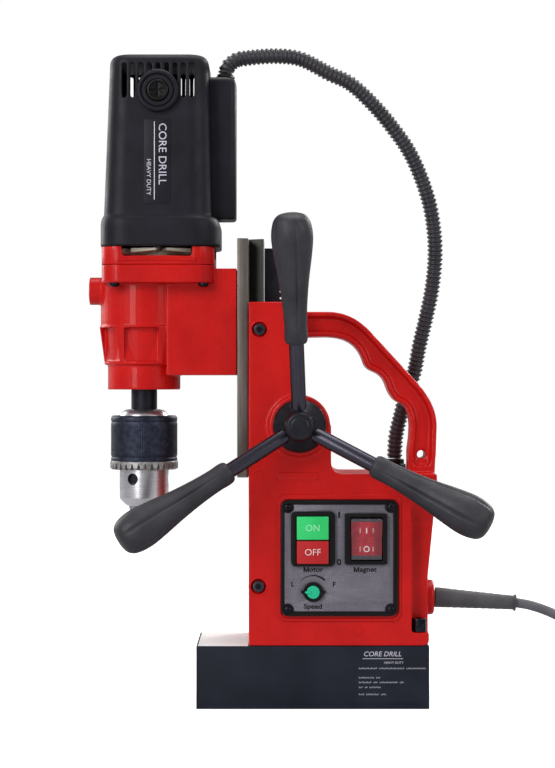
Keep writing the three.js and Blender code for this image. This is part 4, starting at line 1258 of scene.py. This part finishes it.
def gear_case_cover():
    cover = prism("gear_case_cover_fine", flange(0, 14), "Z", 315.3, 327.8)
    boolean(cover, [
        prism("inside", flange(3.4, 11), "Z", 318.4, 331),
        prism("window", window_notch(), "Y", -45, 45),
        box("side_window", -155, -66, -20, 20, 320.8, 331),
        prism("surround", [(x * 1.06 + 6.6, z - 1.6) for x, z in window_notch()], "Y", -45, -39.9),
        rod("shaft_hole", 4.7, 314, 331, "Z", (MOTOR_X, 0, 0), 48, 0),
        rod("journal_hole", 3.4, 314, 331, "Z", (-92, 0, 0), 32, 0),
    ])
    bevel(cover, 0.6, 3)
    finish(cover, "red", "head", ("gear_case_cover",))
    half, path = 27.3, []
    for i in range(13):
        across = i / 6 - 1
        crown = 0.6 * math.cos(1.5 * across)
        path.append(Vector((FLANGE_X + half * across, FRONT - 0.1, 318.2 + crown)))
    bead = tube("window_bead", path, lambda i: 1.0 + 0.35 * abs(i / 6 - 1) ** 6, 16)
    finish(bead, "red", "head")


BLADES = 8


def cooling_fan():
    """A pale fan: broad pitched blades round a hub, on a thin disc."""
    low, high = 321.3, 327.4
    parts = [
        lathe("disc", washer(4.3, 20, low, low + 0.9), "Z", (MOTOR_X, 0, 0), 96, 0.2),
        lathe("hub", washer(4.3, 9, low, high), "Z", (MOTOR_X, 0, 0), 64, 0.4),
    ]
    for i in range(BLADES):
        middle = TAU * (i + 0.5) / BLADES + 0.1
        tilt = 1.2 if i % 2 else -1.2
        sections = []
        for k in range(7):
            radius = 8 + 26.6 * k / 6
            spread = 0.66 - 0.1 * k / 6
            section = []
            for side, z in ((-1, 324.8 - tilt * 0.6), (1, 324.8 + tilt * 0.6), (1, 327.3), (-1, 327.3)):
                turn = middle + side * spread / 2
                section.append((MOTOR_X + radius * math.cos(turn), radius * math.sin(turn), z))
            sections.append(section)
        parts.append(loft("blade", sections))
    fan = together("cooling_fan_fine", parts)
    bevel(fan, 0.3, 2, 40)
    smooth(fan, 35)
    finish(fan, "fan", "rotor", ("cooling_fan",))


gear_case()
gear_case_cover()
cooling_fan()


# ---------------------------------------------------------------- motor
MOTOR_LOW, MOTOR_TOP = 328.1, 465.4
MOTOR_TAPER = 4.1


def motor_ring(z, inset=0.0, spread=0.0, steps=10):
    """The motor's outline at a height; spread takes it from its body (0) to its skirt (1)."""
    rise = (z - MOTOR_LOW) / (MOTOR_TOP - MOTOR_LOW)
    middle, half, radius = -110.9 + 1.3 * rise, 39.3 - MOTOR_TAPER * rise, 16 - 1.7 * rise
    middle += (-108.9 - middle) * spread
    half += (42.8 - half) * spread - inset
    radius += (20 - radius) * spread - 0.8 * inset
    outline = rounded_rect(middle - half, middle + half, -half, half, radius, steps)
    return [(x, y, z) for x, y in outline]


def skirt_rings(gap=0.0):
    """From the motor's foot up to where its skirt has become its body, or just outside that."""
    rings = [motor_ring(MOTOR_LOW, 0.5 - gap, 1), motor_ring(MOTOR_LOW + 0.6, -gap, 1)]
    for i in range(9):
        turn = math.radians(90 * i / 8)
        rings.append(motor_ring(341.8 + 8 * math.sin(turn), -gap, math.cos(turn) ** 0.9 * 0.93 + 0.07))
    return rings + [motor_ring(350.7, -gap, 0.03), motor_ring(352.5, -gap)]


def motor_housing():
    """A moulded can: a skirt with a round shoulder, a drafted body and a soft crown."""
    sections = skirt_rings()
    soft = 6.5
    for i in range(13):
        turn = math.radians(90 * i / 12)
        sections.append(motor_ring(MOTOR_TOP - soft + soft * math.sin(turn), soft * (1 - math.cos(turn))))
    shell = loft("motor_shell", sections)
    boolean(shell, [loft("inside", [motor_ring(MOTOR_LOW - 1, 3.5), motor_ring(459.8, 3.5)])])
    cuts = [rod("bore", 11, -50, 50, "Y", (BRUSH_X, 0, BRUSH_Z), 64, 0)]
    for i in range(-4, 5):
        x = MOTOR_X + 1.1 + i * 6
        for side in (-1, 1):
            slot = rounded_rect(x - 1.65, x + 1.65, 434, 458.3, 0.9, 3)
            cuts.append(prism("vent", slot, "Y", *sorted((side * 25, side * 50))))
    boolean(shell, cuts)
    cast(shell, 0.75, 4)
    finish(shell, "motor", "head", ("motor_housing",))
    for name, side in (("front", -1), ("rear", 1)):
        ring = [(8.1, 31), (8.1, 40.3, 0.3), (10.9, 40.3, 0.4), (11.3, 39.2), (11.9, 39.2),
                (12.2, 40.9, 0.4), (13.9, 40.9, 0.5), (15.0, 39.9, 0.5), (15.1, 33), (13, 31), (8.1, 31)]
        boss = lathe(f"brush_boss_{name}", [(r, side * y, *fillet) for r, y, *fillet in ring],
                     "Y", (BRUSH_X, 0, BRUSH_Z), 128, 0.3)
        finish(boss, "motor", "head")


def motor_label():
    """The long upright plate on the motor's leaning front, with plain generic words."""
    plate = prism("motor_label", rounded_rect(-119.8, -100.9, 358, 418.4, 1.4), "Y", -0.35, 0.3)
    bevel(plate, 0.15, 2)
    pieces = [(plate, "motor")]
    pieces.append((box("motor_label_line", -112.6, -112.1, -0.48, 0, 361, 416.5), "white"))
    for name, text, size, x, z in (("large", "CORE DRILL", 8.0, -106.8, 393.5),
                                   ("small", "HEAVY DUTY", 4.3, -116.4, 377)):
        letters = lettering(f"motor_label_{name}", text, size, x, z, -0.45, "white", None, 0.06, 0, 90)
        pieces.append((letters, "silver"))
    lean = math.atan(MOTOR_TAPER / (MOTOR_TOP - MOTOR_LOW))
    foot = 356.2
    face = shift(0, -38.5, foot) @ Matrix.Rotation(-lean, 4, "X") @ shift(0, 0, -foot)
    for piece, look in pieces:
        piece.data.transform(face)
        finish(piece, look, "head")


def terminal_cover():
    sections = []
    for height, inset in ((348.8, 1.2), (349.6, 0.4), (351, 0), (447, 0), (449.8, 0.7), (451.4, 2.2),
                          (451.8, 3.6)):
        sections.append([(x, y, height) for x, y in
                         rounded_rect(-82, -54.9 - inset, -15 + inset, 15 - inset, 5, 8)])
    cover = loft("terminal_cover_fine", sections)
    boolean(cover, [
        box("inside", -85, -58.6, -12.5, 12.5, 356.5, 449),
        loft("motor_room", skirt_rings(0.25) + [motor_ring(MOTOR_TOP, -0.25)]),
        rod("screw_room_1", 3.4, -56.9, -50, "X", (0, 0, 362), 48, 0),
        rod("screw_room_2", 3.4, -56.9, -50, "X", (0, 0, 438), 48, 0),
    ])
    smooth(cover, 35)
    finish(cover, "motor", "head", ("terminal_cover",))
    for number, z in enumerate((362, 438)):
        pan_screw(f"terminal_screw_{number + 1}", (-56.8, 0, z), 2.9, 1.5, "X", 1, "head")


def brush_caps():
    for node, side in (("brush_front", -1), ("brush_rear", 1)):
        cap = lathe(node + "_cap", [(0, side * 33), (7.7, side * 33), (7.7, side * 41.6, 0.6),
                                    (6.8, side * 42.2, 0.4), (5.9, side * 42.2), (5.5, side * 41.2),
                                    (0, side * 41.2)], "Y", (BRUSH_X, 0, BRUSH_Z), 72, 0.3)
        slot_ends = sorted((side * 39.8, side * 44))
        boolean(cap, cross_recess(BRUSH_X, BRUSH_Z, 5.4, 0.8, "Y", *slot_ends))
        bevel(cap, 0.2, 2, 40)
        finish(cap, "black", "head", (node,))
        carbon = box(node + "_carbon", BRUSH_X - 3, BRUSH_X + 3, *sorted((side * 33, side * 12.6)),
                     BRUSH_Z - 4, BRUSH_Z + 4)
        bevel(carbon, 0.3, 2)
        finish(carbon, "oxide", "head")


motor_housing()
motor_label()
terminal_cover()
brush_caps()


# ---------------------------------------------------------------- spindle and chuck
KEY_HOLE_Z, KEY_HOLE_TURN = 161.6, 5.3
RING_TEETH = 32


def spindle():
    nose = lathe("spindle_fine", [(0, 188), (6, 188), (7.2, 211.9), (9.4, 212), (9.4, 262), (8, 262.3),
                                  (8, 282), (0, 282)], "Z", (SPINDLE_X, 0, 0), 96, 0.3)
    finish(nose, "oxide", "spindle", ("spindle",))
    refined("spindle_bearing", "steel", "head", 0.4)


def chuck_body():
    body = lathe(
        "chuck_body_fine",
        [(0, 175), (6.6, 175), (6.6, 142), (12.4, 142, 0.8), (13.2, 142.5, 0.6), (17.2, 146.4, 0.8),
         (17.7, 147.6, 0.8), (17.7, 207.2, 0.4), (16.9, 209.0, 1.0), (14.4, 211.2, 1.2), (11, 211.9, 0.6),
         (7.6, 211.9), (6.4, 187.5), (0, 187.5)],
        "Z", (SPINDLE_X, 0, 0), 144, 0.4,
    )
    tools = []
    for number in range(3):
        third = shift(SPINDLE_X, 0, 0) @ turned(KEY_HOLE_TURN - 60 + 120 * number, "Z")
        slot = rod("jaw_way", 3.95, -12, 60, sides=48, fillet=0)
        slot.matrix_world = third @ shift(6.7, 0, 138) @ turned(12, "Y")
        key = rod("key_hole", 4.2, 11, 22, "X", sides=48, fillet=0)
        key.matrix_world = third @ turned(60, "Z") @ shift(0, 0, KEY_HOLE_Z)
        tools += [slot, key]
    boolean(body, tools)
    smooth(body, 35)
    finish(body, "bright", "spindle", ("chuck_body",))
    # Painted shade: a dark plug at the bottom of each key hole, where the hole is shaded.
    for number in range(3):
        floor = rod(f"key_hole_painted_shade_{number + 1}", 4.1, 11.05, 14.2, "X", sides=48, fillet=0.2)
        floor.matrix_world = shift(SPINDLE_X, 0, KEY_HOLE_Z) @ turned(KEY_HOLE_TURN + 120 * number, "Z")
        finish(floor, "oxide", "spindle")


def chuck_sleeve():
    """Finely knurled sleeve; gear teeth for the chuck key are cut in its lower ring."""
    def knurled(radius, height, turn):
        if radius > 23.8 and 179 < height < 201:
            return radius - 0.2 * (0.5 + 0.5 * math.cos(90 * turn))
        return radius
    profile = [(18.1, 168.3), (23.2, 168.3, 0.2), (24.6, 169.4, 0.3), (24.6, 174, 0.2), (24.0, 174.6, 0.2),
               (24.1, 176.4, 0.3), (23.6, 177.2, 0.3)]
    profile += [(24.1, 178.6 + 23 * i / 12, 0) for i in range(13)]
    profile += [(23.7, 202.8, 0.3), (24.1, 204, 0.4), (24.0, 206, 0.6), (22.9, 207.3, 0.6), (18.1, 207.3),
                (18.1, 203), (22.2, 203), (22.2, 172.6), (18.1, 172.6), (18.1, 168.3)]
    sleeve = lathe("chuck_sleeve_fine", profile, "Z", (SPINDLE_X, 0, 0), 360, 0.25, knurled)
    gaps = []
    for i in range(RING_TEETH):
        gap = prism("gap", [(-1.7, -1), (1.7, -1), (0.25, 4.6), (-0.25, 4.6)], "X", 19.6, 27)
        gap.matrix_world = shift(SPINDLE_X, 0, 168.3) @ turned(360 * (i + 0.5) / RING_TEETH, "Z")
        gaps.append(gap)
    boolean(sleeve, [together("gaps", gaps)])
    smooth(sleeve, 35)
    finish(sleeve, "ring", "chuck_sleeve", ("chuck_sleeve",))


def jaws():
    for number in (1, 2, 3):
        refined(f"jaw_{number}", "steel", f"jaw_{number}", 0.25, 2)


spindle()
chuck_body()
chuck_sleeve()
jaws()


# ---------------------------------------------------------------- what little shows inside
def inner_parts():
    for node, look in (("circuit_board", "board"), ("stator", "steel"), ("armature", "steel"),
                       ("layshaft", "steel"), ("spindle_gear", "steel")):
        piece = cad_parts[node]
        piece.data.materials.clear()
        piece.data.materials.append(LOOKS[look][1])


inner_parts()


def cord_gland():
    gland = lathe("cord_gland_fine", [(4.9, 82.8), (12.65, 82.8), (12.65, 87, 0.9), (11.6, 88.4, 0.6),
                                      (4.9, 88.4), (4.9, 82.8)], "X", (0, 0, GLAND_Z), 96, 0.4)
    finish(gland, "red", "frame", ("cord_gland",))


cord_gland()


# ---------------------------------------------------------------- studio
def seen_or_lit(tree, seen, lit):
    """A strength for what the camera sees directly, and another for the light it gives."""
    path = tree.nodes.new("ShaderNodeLightPath")
    choice = tree.nodes.new("ShaderNodeMix")
    choice.inputs["A"].default_value = lit
    choice.inputs["B"].default_value = seen
    tree.links.new(path.outputs["Is Camera Ray"], choice.inputs["Factor"])
    return choice.outputs["Result"]


def studio():
    """A pale floor and a white sweep, lit by five soft boxes and one overhead."""
    floor = box("floor", -3000, 3000, -3000, 3000, -20, 0)
    look = Look("studio_floor", roughness=0.8)
    look.colour(look.mixed(look.noise(3, 2), tone(160, 160, 162), tone(164, 164, 166)))
    look.shader.inputs["Emission Color"].default_value = (1, 1, 1, 1)
    look.wire(seen_or_lit(look.tree, 0.86, 0.1), look.shader.inputs["Emission Strength"])
    floor.data.materials.append(look.material)
    world = bpy.data.worlds.new("studio")
    world.use_nodes = True
    tree = world.node_tree
    sky = tree.nodes["Background"]
    sky.inputs["Color"].default_value = (1, 1, 1, 1)
    tree.links.new(seen_or_lit(tree, 1.0, 0.36), sky.inputs["Strength"])
    bpy.context.scene.world = world
    for name, place, aim, size, power in (
        ("key", (-1.3, -1.5, 1.2), (-0.02, 0, 0.24), 0.9, 25),
        ("fill", (1.6, -1.2, 0.9), (0, 0, 0.22), 1.1, 13),
        ("back_left", (-1.6, 1.3, 0.9), (0, 0, 0.22), 1.1, 20),
        ("back_right", (1.3, 1.5, 1.2), (-0.02, 0, 0.24), 0.9, 26),
        ("top", (0.1, 0.2, 1.9), (-0.05, 0, 0.3), 1.2, 20),
        ("low_left", (-1.1, -1.9, 0.36), (-0.1, 0, 0.32), 0.5, 6),
    ):
        data = bpy.data.lights.new(name, "AREA")
        data.size = size
        data.energy = power
        lamp = link(name, data)
        lamp.location = place
        lamp.rotation_euler = (Vector(aim) - Vector(place)).to_track_quat("-Z", "Y").to_euler()
    bpy.context.scene.view_settings.view_transform = "Standard"


studio()
